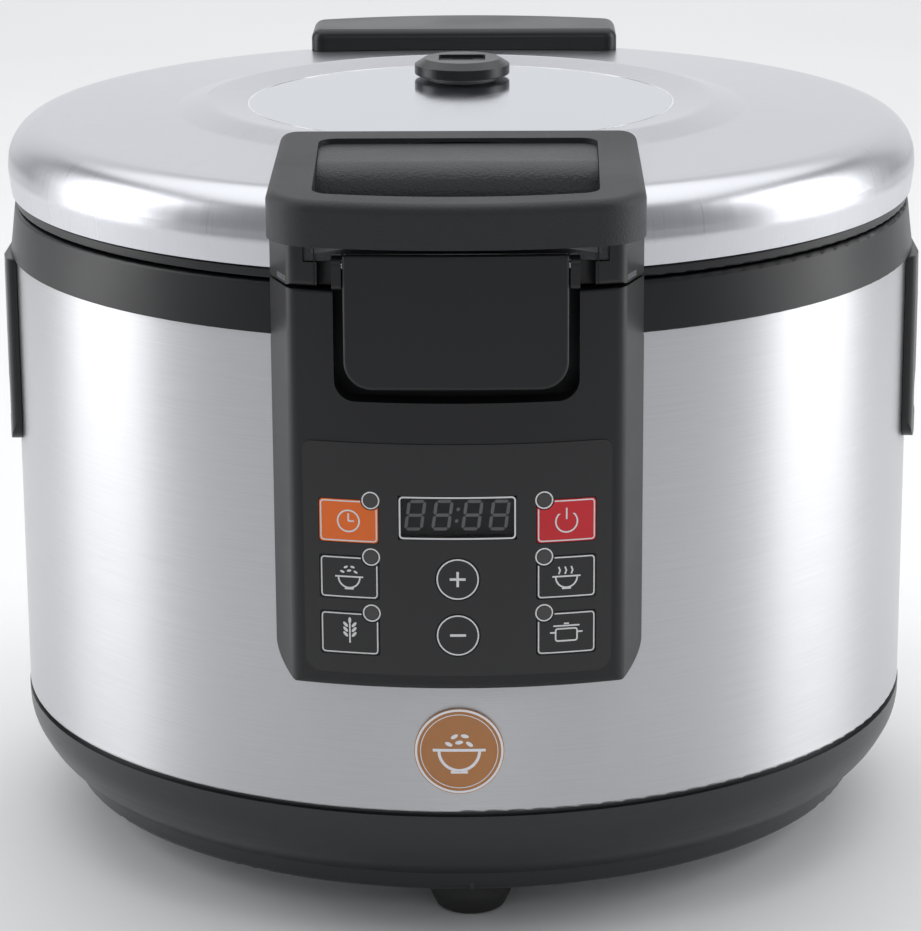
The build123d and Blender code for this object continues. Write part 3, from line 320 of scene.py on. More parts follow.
def math_node(tree, operation, a, b=None):
    node = tree.nodes.new("ShaderNodeMath")
    node.operation = operation
    for socket, value in zip(node.inputs, (a, b)):
        if value is None:
            continue
        if isinstance(value, (int, float)):
            socket.default_value = value
        else:
            tree.links.new(value, socket)
    return node.outputs[0]


def brush_effect():
    """Brush lines on a turned part: Around and Up set how often they change each way."""
    tree, start, end = effect("Turned Brush", [
        ("Vector", "NodeSocketVector", None), ("Around", "NodeSocketFloat", 3.0),
        ("Up", "NodeSocketFloat", 900.0), ("Out", "NodeSocketFloat", 900.0),
    ], [("Streak", "NodeSocketFloat"), ("Drift", "NodeSocketFloat")])
    split = tree.nodes.new("ShaderNodeSeparateXYZ")
    tree.links.new(start.outputs["Vector"], split.inputs[0])
    angle = math_node(tree, "ARCTAN2", split.outputs["X"], split.outputs["Y"])
    squares = math_node(tree, "ADD", math_node(tree, "MULTIPLY", split.outputs["X"], split.outputs["X"]),
                        math_node(tree, "MULTIPLY", split.outputs["Y"], split.outputs["Y"]))
    reach = math_node(tree, "SQRT", squares)
    join = tree.nodes.new("ShaderNodeCombineXYZ")
    for socket, value, rate in ((0, angle, "Around"), (1, reach, "Out"), (2, split.outputs["Z"], "Up")):
        tree.links.new(math_node(tree, "MULTIPLY", value, start.outputs[rate]), join.inputs[socket])
    lines = tree.nodes.new("ShaderNodeTexNoise")
    lines.inputs["Scale"].default_value = 1.0
    lines.inputs["Detail"].default_value = 3.0
    lines.inputs["Roughness"].default_value = 0.65
    tree.links.new(join.outputs[0], lines.inputs["Vector"])
    drift = tree.nodes.new("ShaderNodeTexNoise")
    drift.inputs["Scale"].default_value = 7.0
    drift.inputs["Detail"].default_value = 2.0
    tree.links.new(start.outputs["Vector"], drift.inputs["Vector"])
    tree.links.new(lines.outputs["Fac"], end.inputs["Streak"])
    tree.links.new(drift.outputs["Fac"], end.inputs["Drift"])
    return tree


def grain_effect():
    """Fine moulded or blasted grain: Grain is its bumps, Patches a slow change in sheen."""
    tree, start, end = effect("Moulded Grain", [
        ("Vector", "NodeSocketVector", None), ("Scale", "NodeSocketFloat", 1500.0),
    ], [("Grain", "NodeSocketFloat"), ("Patches", "NodeSocketFloat")])
    pits = tree.nodes.new("ShaderNodeTexVoronoi")
    pits.feature = "SMOOTH_F1"
    pits.inputs["Smoothness"].default_value = 0.6
    noise = tree.nodes.new("ShaderNodeTexNoise")
    noise.inputs["Detail"].default_value = 2.0
    patches = tree.nodes.new("ShaderNodeTexNoise")
    patches.inputs["Scale"].default_value = 14.0
    patches.inputs["Detail"].default_value = 3.0
    for node in (pits, noise, patches):
        tree.links.new(start.outputs["Vector"], node.inputs["Vector"])
    tree.links.new(start.outputs["Scale"], pits.inputs["Scale"])
    tree.links.new(math_node(tree, "MULTIPLY", start.outputs["Scale"], 0.45), noise.inputs["Scale"])
    shallow = math_node(tree, "MULTIPLY", pits.outputs["Distance"], 0.6)
    both = math_node(tree, "ADD", shallow, noise.outputs["Fac"])
    tree.links.new(both, end.inputs["Grain"])
    tree.links.new(patches.outputs["Fac"], end.inputs["Patches"])
    return tree


def shared(name, maker):
    return bpy.data.node_groups.get(name) or maker()


def start_material(name):
    material = bpy.data.materials.new(name)
    material.use_nodes = True
    tree = material.node_tree
    shader = tree.nodes["Principled BSDF"]
    coords = tree.nodes.new("ShaderNodeTexCoord")
    return material, tree, shader, coords.outputs["Object"]


def vary(tree, value, low, high, socket):
    """Maps a 0..1 pattern onto a range of one shader input."""
    node = tree.nodes.new("ShaderNodeMapRange")
    node.inputs["From Min"].default_value = 0.3
    node.inputs["From Max"].default_value = 0.7
    node.inputs["To Min"].default_value = low
    node.inputs["To Max"].default_value = high
    tree.links.new(value, node.inputs["Value"])
    tree.links.new(node.outputs["Result"], socket)


def tint(tree, value, dark, light, socket):
    """Mixes two near colours by a pattern."""
    ramp = tree.nodes.new("ShaderNodeValToRGB")
    ramp.color_ramp.elements[0].position = 0.3
    ramp.color_ramp.elements[1].position = 0.7
    ramp.color_ramp.elements[0].color = (*dark, 1)
    ramp.color_ramp.elements[1].color = (*light, 1)
    tree.links.new(value, ramp.inputs["Fac"])
    tree.links.new(ramp.outputs["Color"], socket)


def bump(tree, height, strength, distance, shader):
    node = tree.nodes.new("ShaderNodeBump")
    node.inputs["Strength"].default_value = strength
    node.inputs["Distance"].default_value = distance
    tree.links.new(height, node.inputs["Height"])
    tree.links.new(node.outputs["Normal"], shader.inputs["Normal"])


def scaled(colour, factor):
    return tuple(min(1.0, c * factor) for c in colour)


def brushed_metal(name, colour, rough, around, up, out, depth=0.12, contrast=0.05, aniso=0.5, turn=0.0):
    material, tree, shader, coords = start_material(name)
    brush = tree.nodes.new("ShaderNodeGroup")
    brush.node_tree = shared("Turned Brush", brush_effect)
    for label, value in (("Around", around), ("Up", up), ("Out", out)):
        brush.inputs[label].default_value = value
    tree.links.new(coords, brush.inputs["Vector"])
    tint(tree, brush.outputs["Streak"], scaled(colour, 1 - contrast), scaled(colour, 1 + contrast),
         shader.inputs["Base Color"])
    vary(tree, brush.outputs["Streak"], rough[0], rough[1], shader.inputs["Roughness"])
    bump(tree, brush.outputs["Streak"], depth, 0.0002, shader)
    shader.inputs["Metallic"].default_value = 1.0
    shader.inputs["Anisotropic"].default_value = aniso
    shader.inputs["Anisotropic Rotation"].default_value = turn
    return material


def moulded_plastic(name, colour, rough, grain=1500.0, depth=0.1, coat=0.0, specular=0.5):
    material, tree, shader, coords = start_material(name)
    group = tree.nodes.new("ShaderNodeGroup")
    group.node_tree = shared("Moulded Grain", grain_effect)
    group.inputs["Scale"].default_value = grain
    tree.links.new(coords, group.inputs["Vector"])
    tint(tree, group.outputs["Patches"], scaled(colour, 0.92), scaled(colour, 1.08),
         shader.inputs["Base Color"])
    vary(tree, group.outputs["Patches"], rough[0], rough[1], shader.inputs["Roughness"])
    bump(tree, group.outputs["Grain"], depth, 0.0002, shader)
    shader.inputs["Specular IOR Level"].default_value = specular
    if coat:
        shader.inputs["Coat Weight"].default_value = coat
        shader.inputs["Coat Roughness"].default_value = 0.08
    return material


def cast_metal(name, colour, rough, grain=700.0, depth=0.2):
    material = moulded_plastic(name, colour, rough, grain, depth)
    material.node_tree.nodes["Principled BSDF"].inputs["Metallic"].default_value = 1.0
    return material


def dark_lens(name):
    """Smoked window over the digits."""
    material, tree, shader, coords = start_material(name)
    haze = tree.nodes.new("ShaderNodeTexNoise")
    haze.inputs["Scale"].default_value = 60.0
    tree.links.new(coords, haze.inputs["Vector"])
    vary(tree, haze.outputs["Fac"], 0.10, 0.16, shader.inputs["Roughness"])
    shader.inputs["Base Color"].default_value = (0.006, 0.006, 0.007, 1)
    shader.inputs["Alpha"].default_value = 0.22
    return material


def lamp_lens(name):
    return moulded_plastic(name, (0.035, 0.033, 0.034), (0.25, 0.35), 900.0, 0.05, coat=0.4)


def ink_material(name, colour, rough=0.45):
    return moulded_plastic(name, colour, (rough, rough + 0.1), 2500.0, 0.04)


# ---- operators: finishes
class COOKER_OT_steel(bpy.types.Operator):
    """Finishes the casing, the lid and the disc in their brushed and satin steels"""
    bl_idname = "cooker.steel"
    bl_label = "Steel skins"

    def execute(self, context):
        colours = context.scene.cooker_colours
        dress("casing_steel", brushed_metal("Brushed Casing", colours.steel, (0.34, 0.44), 5.0, 1900.0, 60.0,
                                            depth=0.10, contrast=0.05, aniso=0.8, turn=0.25))
        dress("lid_steel", brushed_metal("Satin Lid", colours.lid_steel, (0.27, 0.34), 420.0, 6.0, 25.0,
                                         depth=0.03, contrast=0.02, aniso=0.3))
        dress("disc_finish", brushed_metal("Glossy Disc", colours.disc, (0.10, 0.15), 4.0, 5.0, 5.0,
                                           depth=0.02, contrast=0.02, aniso=0.0))
        return {"FINISHED"}


class COOKER_OT_housings(bpy.types.Operator):
    """Finishes the moulded housings, the handle, the scoop, the tray and the feet"""
    bl_idname = "cooker.housings"
    bl_label = "Moulded housings"

    def execute(self, context):
        colours = context.scene.cooker_colours
        dress("body_plastic", moulded_plastic("Satin Housing", colours.housing, (0.34, 0.44), 2600.0, 0.06,
                                                specular=0.42))
        dress("grip_plastic", moulded_plastic("Blasted Handle", scaled(colours.housing, 1.9), (0.50, 0.60),
                                              1900.0, 0.8))
        dress("scoop_plastic", moulded_plastic("Grained Scoop", colours.scoop, (0.40, 0.52), 1300.0, 1.0))
        dress("cap_plastic", moulded_plastic("Steam Cap", scaled(colours.housing, 1.5), (0.30, 0.40),
                                             2400.0, 0.06))
        dress("base_plastic", moulded_plastic("Base Tray", colours.tray, (0.30, 0.38), 2600.0, 0.04))
        dress("foot_rubber", moulded_plastic("Foot Rubber", (0.018, 0.018, 0.018), (0.55, 0.7), 1200.0, 0.2))
        dress("seal_silicone", moulded_plastic("Silicone Seal", (0.60, 0.60, 0.57), (0.45, 0.6),
                                               1200.0, 0.08))
        return {"FINISHED"}


class COOKER_OT_panel(bpy.types.Operator):
    """Finishes the panel film, the keys, the lamps, the display and the badge's enamel"""
    bl_idname = "cooker.panel"
    bl_label = "Panel and keys"

    def execute(self, context):
        colours = context.scene.cooker_colours
        dress("panel_film", moulded_plastic("Panel Film", (0.011, 0.011, 0.012), (0.26, 0.32), 3000.0, 0.04))
        dress("key_dark", moulded_plastic("Dark Key", (0.012, 0.012, 0.013), (0.30, 0.36), 3000.0, 0.05))
        dress("key_orange", moulded_plastic("Orange Key", colours.orange, (0.32, 0.38), 3000.0, 0.05))
        dress("key_red", moulded_plastic("Red Key", colours.red, (0.32, 0.38), 3000.0, 0.05))
        dress("display_lens", dark_lens("Smoked Lens"))
        dress("module_plastic", moulded_plastic("Module Body", (0.010, 0.010, 0.011), (0.3, 0.4),
                                                2600.0, 0.04))
        dress("lamp_lens", lamp_lens("Unlit Lamp"))
        dress("badge_enamel", moulded_plastic("Badge Enamel", colours.badge, (0.18, 0.24),
                                              1400.0, 0.02, coat=0.6))
        return {"FINISHED"}


class COOKER_OT_inside(bpy.types.Operator):
    """Finishes the pot, the chamber, the heater, the boards, the springs and the screws"""
    bl_idname = "cooker.inside"
    bl_label = "Inner parts"

    def execute(self, context):
        dress("pot_aluminium", brushed_metal("Spun Pot", (0.68, 0.68, 0.68), (0.26, 0.36), 2.0, 900.0, 900.0,
                                             depth=0.12, contrast=0.05, aniso=0.3))
        dress("inner_steel", brushed_metal("Plain Sheet", (0.52, 0.52, 0.53), (0.32, 0.45), 60.0, 60.0, 60.0,
                                           depth=0.05, contrast=0.04, aniso=0.0))
        dress("cast_aluminium", cast_metal("Cast Heater", (0.60, 0.60, 0.61), (0.42, 0.55), 700.0, 0.35))
        dress("screw_steel", cast_metal("Plated Screws", (0.50, 0.50, 0.52), (0.25, 0.35), 1500.0, 0.05))
        dress("spring_steel", cast_metal("Spring Wire", (0.42, 0.42, 0.43), (0.25, 0.35), 2500.0, 0.05))
        dress("pin_brass", cast_metal("Inlet Pins", (0.70, 0.68, 0.62), (0.2, 0.3), 2000.0, 0.03))
        dress("circuit_board", moulded_plastic("Circuit Board", (0.01, 0.12, 0.04), (0.25, 0.35), 1800.0, 0.1,
                                               coat=0.3))
        return {"FINISHED"}


def dress(slot, material):
    """Gives every CAD node of one record slot its finish."""
    for name, node in NODES.items():
        if SLOT_OF.get(name) == slot:
            for holder in node.material_slots:
                holder.material = material


# ---- operators: printed marks and small trim
def key_place(name):
    """Angle, height and face radius of a key, from its CAD node."""
    low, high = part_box(name)
    side = (low.x + high.x > 2 * MM) - (low.x + high.x < -2 * MM)
    angle = side * bpy.context.scene.cooker_sizes.key_turn
    return angle, (low.z + high.z) / 2, -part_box("key_plus")[0].y


def lamp_turn(radius):
    """Angle of the lamps round the casing's axis, from their outermost edge."""
    return math.asin((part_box("indicator_lenses")[1].x - LAMP_RADIUS) / radius)


def bowl_icon(size, line):
    """A bowl in section: half a ring closed by its rim."""
    radius = size * 0.46
    half = trimmed(ring((0, 0), radius, line), (0, 0, 0), (0, 0, 1))
    rim = bar((0, line * 0.4), (size * 1.12, line))
    foot = bar((0, -radius - line * 0.1), (size * 0.36, line))
    return [half, rim, foot]


def grain_heap(size, places, share):
    """Rice grains: each place is across, up and turned, in parts of the size and degrees."""
    return [disc((dx * size, dz * size), size * share, 0.5, turn) for dx, dz, turn in places]


def clock_icon(size, line):
    radius = size * 0.46
    return [ring((0, 0), radius, line), bar((0, radius * 0.33), (line, radius * 0.66)),
            bar((radius * 0.24, 0), (radius * 0.5, line))]


def rice_icon(size, line):
    places = ((-0.27, 0.22, 20), (0.0, 0.27, -12), (0.26, 0.22, 30), (-0.13, 0.41, -25), (0.14, 0.42, 15))
    grains = grain_heap(size, places, 0.09)
    return bowl_icon(size, line) + grains


def husked_icon(size, line):
    ear = [bar((0, 0.02 * size), (line, size * 0.84))]
    for step in range(3):
        for side in (-1, 1):
            ear.append(disc((side * 0.17 * size, (-0.05 + 0.2 * step) * size), size * 0.13, 0.45, -side * 48))
    ear.append(disc((0, 0.52 * size), size * 0.13, 0.45, 90))
    return ear


def porridge_icon(size, line):
    steam = []
    for dx in (-0.25, 0.0, 0.25):
        steam.append(bar((dx * size - line * 0.5, 0.2 * size), (line, 0.17 * size), 20))
        steam.append(bar((dx * size - line * 0.5, 0.34 * size), (line, 0.17 * size), -20))
    return bowl_icon(size, line) + steam


def soup_icon(size, line):
    pot = outline((0, -0.08 * size), (size * 0.92, size * 0.56), 0.12 * size, line, 2)
    lid = [bar((0, 0.29 * size), (size * 1.04, line)), bar((0, 0.38 * size), (size * 0.2, line))]
    ears = [bar((side * 0.55 * size, 0.02 * size), (0.2 * size, line)) for side in (-1, 1)]
    return [pot] + lid + ears


def stop_icon(size, line):
    radius = size * 0.46
    loop = ring((0, -0.04 * size), radius, line)
    gap = trimmed(loop, (0, 0, radius * 0.62), (0, 0, 1))
    return [gap, bar((0, 0.28 * size), (line, size * 0.46))]


def plus_icon(size, line):
    return [bar((0, 0), (size * 0.62, line * 1.6)), bar((0, 0), (line * 1.6, size * 0.62))]


def minus_icon(size, line):
    return [bar((0, 0), (size * 0.62, line * 1.6))]


class COOKER_OT_key_marks(bpy.types.Operator):
    """Prints an outline and a pictogram on every key"""
    bl_idname = "cooker.key_marks"
    bl_label = "Key marks"

    def execute(self, context):
        sizes = context.scene.cooker_sizes
        ink = ink_material("White Print", context.scene.cooker_colours.ink)
        icons = {"key_timer": clock_icon, "key_rice": rice_icon, "key_husked_rice": husked_icon,
                 "key_cancel": stop_icon, "key_porridge": porridge_icon, "key_soup": soup_icon}
        for name, icon in icons.items():
            angle, z, radius = key_place(name)
            width, height = sizes.key_width, sizes.key_height
            side = 1 if angle > 0 else -1
            edge = outline((0, 0), (width - 2 * sizes.key_edge, height - 2 * sizes.key_edge),
                           sizes.key_corner, sizes.line, 30)
            lamp = (-(abs(angle) - lamp_turn(radius)) * radius * side, height / 2)
            cut_near(edge, lamp, sizes.lamp_ring + 0.9 * MM)
            marks = joined(name + "_marks", [edge] + icon(sizes.icon, sizes.line * 1.25))
            thicken(marks, sizes.ink)
            wrap_round(shift(marks, (0, 0, z)), radius, angle)
            fit(marks, ink, name)
        for name, icon in (("key_plus", plus_icon), ("key_minus", minus_icon)):
            angle, z, radius = key_place(name)
            circle = ring((0, 0), sizes.round_key / 2 - sizes.key_edge * 0.5, sizes.line * 1.1, 64)
            marks = joined(name + "_marks", [circle] + icon(sizes.icon, sizes.line * 1.25))
            thicken(marks, sizes.ink)
            wrap_round(shift(marks, (0, 0, z)), radius, 0.0)
            fit(marks, ink, name)
        return {"FINISHED"}


class COOKER_OT_lamp_rings(bpy.types.Operator):
    """Prints a ring round every lamp"""
    bl_idname = "cooker.lamp_rings"
    bl_label = "Lamp rings"

    def execute(self, context):
        sizes = context.scene.cooker_sizes
        ink = ink_material("Ring Print", context.scene.cooker_colours.ink)
        radius = -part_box("panel_overlay")[0].y
        rings = []
        for name in RECTANGULAR_KEYS:
            angle, z, _ = key_place(name)
            side = 1 if angle > 0 else -1
            centre = (side * lamp_turn(radius) * radius, z + sizes.key_height / 2)
            rings.append(ring(centre, sizes.lamp_ring, sizes.line * 1.1, 36))
        marks = joined("lamp_rings", rings)
        thicken(marks, sizes.ink)
        fit(wrap_round(marks, radius), ink, BODY)
        return {"FINISHED"}


def segment(at, size, turn):
    """One display segment: a bar with pointed ends."""
    clear_selection()
    bpy.ops.mesh.primitive_plane_add(size=1, location=(at[0], 0, at[1]),
                                     rotation=(math.pi / 2, math.radians(turn), 0))
    piece = place(bpy.context.object, (size[0], size[1], 1))
    edit(piece)
    bpy.ops.mesh.bevel(offset=size[1] * 0.49, segments=1, affect="VERTICES")
    done()
    return piece


class COOKER_OT_display(bpy.types.Operator):
    """Builds the unlit digits behind the smoked window and the window's printed border"""
    bl_idname = "cooker.display"
    bl_label = "Display"

    def execute(self, context):
        sizes = context.scene.cooker_sizes
        low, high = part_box("display_window")
        module_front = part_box("display_module")[0].y
        z = (low.z + high.z) / 2
        width, height, bar_t = sizes.digit_width, sizes.digit_height, 1.35 * MM
        half_w, half_h = width / 2 - bar_t / 2, height / 2 - bar_t / 2
        parts = []
        for slot in (-1.5, -0.5, 0.5, 1.5):
            x = slot * sizes.digit_pitch + (0.6 * MM if slot > 0 else -0.6 * MM)
            for dz in (-half_h, 0, half_h):
                parts.append(segment((x, dz), (2 * half_w - 0.5 * MM, bar_t), 0))
            for dx in (-half_w, half_w):
                for dz in (-half_h / 2, half_h / 2):
                    parts.append(segment((x + dx, dz), (half_h - 0.5 * MM, bar_t), 90))
        for dz in (-2.6 * MM, 2.6 * MM):
            parts.append(disc((0, dz), 0.75 * MM, sides=20))
        digits = joined("display_digits", parts)
        lean = math.tan(sizes.digit_slant)
        for vertex in digits.data.vertices:
            vertex.co.x += vertex.co.z * lean
        thicken(digits, 0.15 * MM)
        shift(digits, (0, module_front, z))
        fit(digits, ink_material("Unlit Segment", (0.42, 0.42, 0.43), 0.5), BODY)
        size = (2 * high.x - 0.3 * MM, high.z - low.z - 0.3 * MM)
        border = outline((0, 0), size, 1.8 * MM, sizes.line * 1.3, 14)
        thicken(border, sizes.ink)
        border.name = "display_border"
        wrap_round(shift(border, (0, 0, z)), -low.y)
        fit(border, ink_material("Border Print", context.scene.cooker_colours.ink), BODY)
        return {"FINISHED"}


class COOKER_OT_badge(bpy.types.Operator):
    """Lays a plain rim and a bowl pictogram on the round badge"""
    bl_idname = "cooker.badge"
    bl_label = "Badge"

    def execute(self, context):
        low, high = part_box("badge")
        radius = -low.y
        z = (low.z + high.z) / 2
        reach = (high.z - low.z) / 2
        rim = ring((0, 0), reach - 0.3 * MM, 1.0 * MM, 72)
        inner = ring((0, 0), reach - 2.6 * MM, 0.35 * MM, 72)
        size = reach * 1.05
        parts = [rim, inner] + bowl_icon(size, 1.3 * MM)
        places = ((-0.22, 0.16, 25), (0.0, 0.2, -10), (0.22, 0.16, 35), (-0.1, 0.33, -30), (0.12, 0.34, 12))
        parts += grain_heap(size, places, 0.085)
        marks = joined("badge_marks", parts)
        edit(marks)
        bpy.ops.mesh.subdivide(number_cuts=1)
        done()
        thicken(marks, 0.12 * MM)
        wrap_round(shift(marks, (0, 0, z)), radius)
        fit(marks, cast_metal("Badge Silver", (0.72, 0.72, 0.74), (0.22, 0.3), 2000.0, 0.03), BODY)
        return {"FINISHED"}


class COOKER_OT_posts(bpy.types.Operator):
    """Adds the seams, as near-black strips of painted shadow, and the slotted tabs on the handle's two posts
    """
    bl_idname = "cooker.posts"
    bl_label = "Post seams"

    def execute(self, context):
        sizes = context.scene.cooker_sizes
        low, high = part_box("latch_housing")
        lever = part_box("latch_lever")[1].x
        radius = -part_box("control_box")[0].y
        face_half = high.x - 9.2 * MM
        corner = Vector((face_half, -math.sqrt(radius ** 2 - face_half ** 2), 0))
        along = Vector((9.2, 23.4, 0)).normalized()
        out = Vector((along.y, -along.x, 0))
        z = (low.z + high.z) / 2
        tall = high.z - low.z - 2.5 * MM
        seams, tabs = [], []
        for side in (-1, 1):
            front = bar((side * (lever + 13.2 * MM), z), (sizes.seam, tall))
            thicken(front, 0.1 * MM)
            seams.append(wrap_round(front, radius))
            for reach in (15.5 * MM, 18.0 * MM):
                flank = bar((reach, z), (sizes.seam, tall))
                thicken(flank, 0.1 * MM)
                seams.append(lay_on(flank, corner, along, out, side))
            tab = bar((8.6 * MM, low.z + 2.3 * MM), (11.0 * MM, 2.2 * MM))
            edit(tab)
            bpy.ops.mesh.inset(thickness=0.25 * MM, depth=0)
            done()
            thicken(tab, 0.35 * MM)
            tabs.append(lay_on(tab, corner, along, out, side))
            for slot in range(5):
                rib = bar(((4.6 + slot * 2.0) * MM, low.z + 2.3 * MM), (0.9 * MM, 1.3 * MM))
                thicken(rib, 0.6 * MM)
                tabs.append(lay_on(rib, corner, along, out, side))
        # The seam strips are near-black painted shadow that stands in for the shade inside the moulded
        # grooves.
        fit(joined("post_seams", seams), moulded_plastic("Seam Shadow", (0.003, 0.003, 0.003), (0.7, 0.8),
                                                         1500.0, 0.05), LID)
        fit(joined("post_tabs", tabs), moulded_plastic("Tab Plastic", (0.16, 0.165, 0.175), (0.4, 0.5),
                                                       2000.0, 0.05), LID)
        return {"FINISHED"}


class COOKER_OT_disc_edge(bpy.types.Operator):
    """Adds the polished bead round the lid's disc"""
    bl_idname = "cooker.disc_edge"
    bl_label = "Disc edge"

    def execute(self, context):
        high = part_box("top_disc")[1]
        clear_selection()
        bpy.ops.mesh.primitive_torus_add(major_radius=high.x + 0.05 * MM, minor_radius=0.45 * MM,
                                         major_segments=192, minor_segments=12,
                                         location=(0, 0, high.z - 0.25 * MM))
        bead = place(bpy.context.object)
        bead.name = "disc_edge_bead"
        edit(bead)
        bpy.ops.mesh.bisect(plane_co=(0, 0, high.z - 0.5 * MM), plane_no=(0, 0, -1), clear_outer=True,
                            use_fill=True)
        done()
        polished = cast_metal("Polished Edge", (0.80, 0.81, 0.83), (0.08, 0.12), 900.0, 0.01)
        fit(bead, polished, LID)
        return {"FINISHED"}


class COOKER_OT_rear(bpy.types.Operator):
    """Adds the rear housing's louvres and the inlet's two screws"""
    bl_idname = "cooker.rear"
    bl_label = "Rear trim"

    def execute(self, context):
        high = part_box("rear_housing")[1]
        inlet_low, inlet_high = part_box("power_inlet")
        louvres = []
        for row in range(7):
            z = high.z - 34 * MM - row * 7 * MM
            piece = outline((0, z), (64 * MM, 3.2 * MM), 1.5 * MM, 0.8 * MM, 10)
            louvres.append(piece)
        group = joined("rear_louvres", louvres)
        thicken(group, 0.7 * MM)
        wrap_round(group, REAR_RADIUS, math.pi)
        fit(group, moulded_plastic("Louvre Plastic", scaled(context.scene.cooker_colours.housing, 1.2),
                                   (0.4, 0.5), 2400.0, 0.05), BODY)
        heads = []
        z = (inlet_low.z + inlet_high.z) / 2
        for x in (-20.25 * MM, 20.25 * MM):
            clear_selection()
            bpy.ops.mesh.primitive_cylinder_add(vertices=32, radius=3.1 * MM, depth=1.6 * MM,
                                                location=(x, inlet_high.y + 0.6 * MM, z),
                                                rotation=(math.pi / 2, 0, 0))
            head = place(bpy.context.object)
            edit(head)
            bpy.ops.mesh.select_all(action="DESELECT")
            bpy.ops.mesh.edges_select_sharp(sharpness=math.radians(40))
            bpy.ops.mesh.bevel(offset=0.4 * MM, segments=3, affect="EDGES")
            done()
            for turn in (0, 90):
                clear_selection()
                bpy.ops.mesh.primitive_cube_add(size=1, location=(x, inlet_high.y + 1.4 * MM, z),
                                                rotation=(0, math.radians(turn + 20), 0))
                tool = place(bpy.context.object, (3.6 * MM, 1.2 * MM, 0.7 * MM))
                cut = head.modifiers.new("slot", "BOOLEAN")
                cut.operation = "DIFFERENCE"
                cut.solver = "EXACT"
                cut.object = tool
                apply_modifiers(head)
                bpy.data.objects.remove(tool)
            heads.append(head)
        screws = joined("inlet_screws", heads)
        fit(screws, bpy.data.materials["Plated Screws"], BODY)
        return {"FINISHED"}


class COOKER_OT_pot_marks(bpy.types.Operator):
    """Stamps level marks inside the pot"""
    bl_idname = "cooker.pot_marks"
    bl_label = "Pot level marks"

    def execute(self, context):
        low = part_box("inner_pot")[0]
        marks = []
        for step in range(context.scene.cooker_sizes.pot_marks):
            z = low.z + FIRST_LEVEL + step * LEVEL_STEP
            long_mark = step % 2 == 0
            marks.append(bar((0, z), ((22 if long_mark else 12) * MM, 0.9 * MM), cuts=5))
        tall = LEVEL_STEP * (len(marks) - 1)
        marks.append(bar((0, low.z + FIRST_LEVEL + tall / 2), (0.9 * MM, tall), cuts=3))
        piece = joined("pot_level_marks", marks)
        thicken(piece, 0.12 * MM)
        wrap_round(piece, POT_WALL_RADIUS, math.pi, inside=True)
        edit(piece)
        bpy.ops.mesh.normals_make_consistent(inside=False)
        done()
        fit(piece, cast_metal("Stamped Mark", (0.30, 0.30, 0.31), (0.4, 0.5), 1200.0, 0.05), BODY)
        return {"FINISHED"}


# ---- studio
def softbox(name, at, aim, size, power):
    light = bpy.data.lights.new(name, "AREA")
    light.shape = "RECTANGLE"
    light.size, light.size_y = size
    light.energy = power
    lamp = bpy.data.objects.new(name, light)
    bpy.context.scene.collection.objects.link(lamp)
    lamp.location = at
    lamp.rotation_euler = (Vector(aim) - Vector(at)).to_track_quat("-Z", "Y").to_euler()


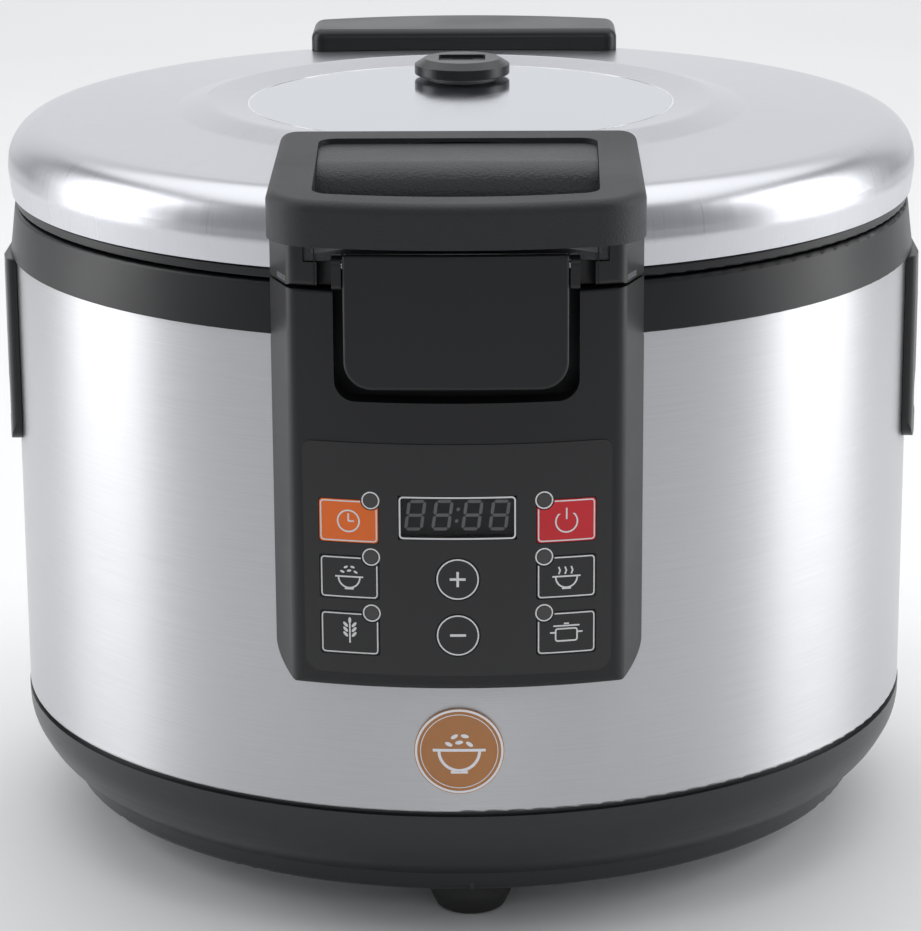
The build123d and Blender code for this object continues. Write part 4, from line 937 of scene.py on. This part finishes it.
class COOKER_OT_stage(bpy.types.Operator):
    """Sets the pale floor and backdrop, the soft lights and the camera"""
    bl_idname = "cooker.stage"
    bl_label = "Studio"

    def execute(self, context):
        scene = context.scene
        clear_selection()
        bpy.ops.mesh.primitive_plane_add(size=1, location=(0, 0, -0.0005))
        floor = place(bpy.context.object, (9, 9, 1))
        floor.name = "studio_floor"
        edit(floor)
        bpy.ops.mesh.subdivide(number_cuts=8)
        done()
        pale, tree, shader, coords = start_material("Pale Floor")
        noise = tree.nodes.new("ShaderNodeTexNoise")
        noise.inputs["Scale"].default_value = 2.0
        tree.links.new(coords, noise.inputs["Vector"])
        tint(tree, noise.outputs["Fac"], (0.86, 0.86, 0.86), (0.88, 0.88, 0.88), shader.inputs["Base Color"])
        shader.inputs["Roughness"].default_value = 0.75
        floor.data.materials.append(pale)
        world = bpy.data.worlds.new("Studio Air")
        scene.world = world
        world.use_nodes = True
        world.node_tree.nodes["Background"].inputs["Color"].default_value = (0.93, 0.95, 1.0, 1)
        world.node_tree.nodes["Background"].inputs["Strength"].default_value = 0.30
        scene.view_settings.view_transform = "Standard"
        softbox("side_left", (-1.7, 0.12, 0.75), (0, 0.05, 0.2), (0.95, 1.5), 14)
        softbox("side_right", (1.7, 0.12, 0.75), (0, 0.05, 0.2), (0.95, 1.5), 15)
        softbox("top_soft", (0, 0.9, 2.7), (0, 0.6, 0), (4.2, 3.4), 62)
        softbox("back_wall", (0, 3.4, 1.1), (0, 0, 0.2), (5.5, 2.2), 26)
        softbox("front_fill", (0.2, -3.0, 1.9), (0, 0, 0.2), (1.2, 0.8), 6)
        camera_data = bpy.data.cameras.new("Front Camera")
        camera_data.sensor_width = 36
        camera_data.lens = 138.05
        camera_data.shift_x = -0.0025
        camera = bpy.data.objects.new("Front Camera", camera_data)
        scene.collection.objects.link(camera)
        side, pitch, roll, away = math.radians(0.6), math.radians(15.78), math.radians(-0.31), 1.6912
        ahead = math.cos(pitch)
        forward = Vector((-math.sin(side) * ahead, math.cos(side) * ahead, -math.sin(pitch)))
        level = Vector((math.cos(side), math.sin(side), 0))
        upward = level.cross(forward)
        right = math.cos(roll) * level + math.sin(roll) * upward
        above = -math.sin(roll) * level + math.cos(roll) * upward
        turn = Matrix((right, above, -forward)).transposed()
        place_at = (away * math.sin(side), -away * math.cos(side), 0.6398)
        camera.matrix_world = Matrix.Translation(place_at) @ turn.to_4x4()
        scene.camera = camera
        return {"FINISHED"}


class COOKER_PT_panel(bpy.types.Panel):
    """Lists the cooker's sizes, colours and building steps"""
    bl_idname = "COOKER_PT_panel"
    bl_label = "Rice Cooker"
    bl_space_type = "VIEW_3D"
    bl_region_type = "UI"
    bl_category = "Cooker"

    def draw(self, context):
        layout = self.layout
        for group in (context.scene.cooker_sizes, context.scene.cooker_colours):
            box = layout.box()
            for name in group.__annotations__:
                box.prop(group, name)
        for step in STEPS:
            layout.operator(step.bl_idname)


STEPS = [COOKER_OT_stage, COOKER_OT_steel, COOKER_OT_housings, COOKER_OT_panel, COOKER_OT_inside,
         COOKER_OT_key_marks, COOKER_OT_lamp_rings, COOKER_OT_display, COOKER_OT_badge, COOKER_OT_posts,
         COOKER_OT_disc_edge, COOKER_OT_rear, COOKER_OT_pot_marks]
CLASSES = [CookerSizes, CookerColours] + STEPS + [COOKER_PT_panel]


def register():
    for cls in CLASSES:
        bpy.utils.register_class(cls)
    bpy.types.Scene.cooker_sizes = PointerProperty(type=CookerSizes)
    bpy.types.Scene.cooker_colours = PointerProperty(type=CookerColours)


def unregister():
    del bpy.types.Scene.cooker_colours
    del bpy.types.Scene.cooker_sizes
    for cls in reversed(CLASSES):
        bpy.utils.unregister_class(cls)


def main():
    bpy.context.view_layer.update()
    register()
    for step in STEPS:
        group, operation = step.bl_idname.split(".")
        getattr(getattr(bpy.ops, group), operation)()


if __name__ == "__main__":
    main()
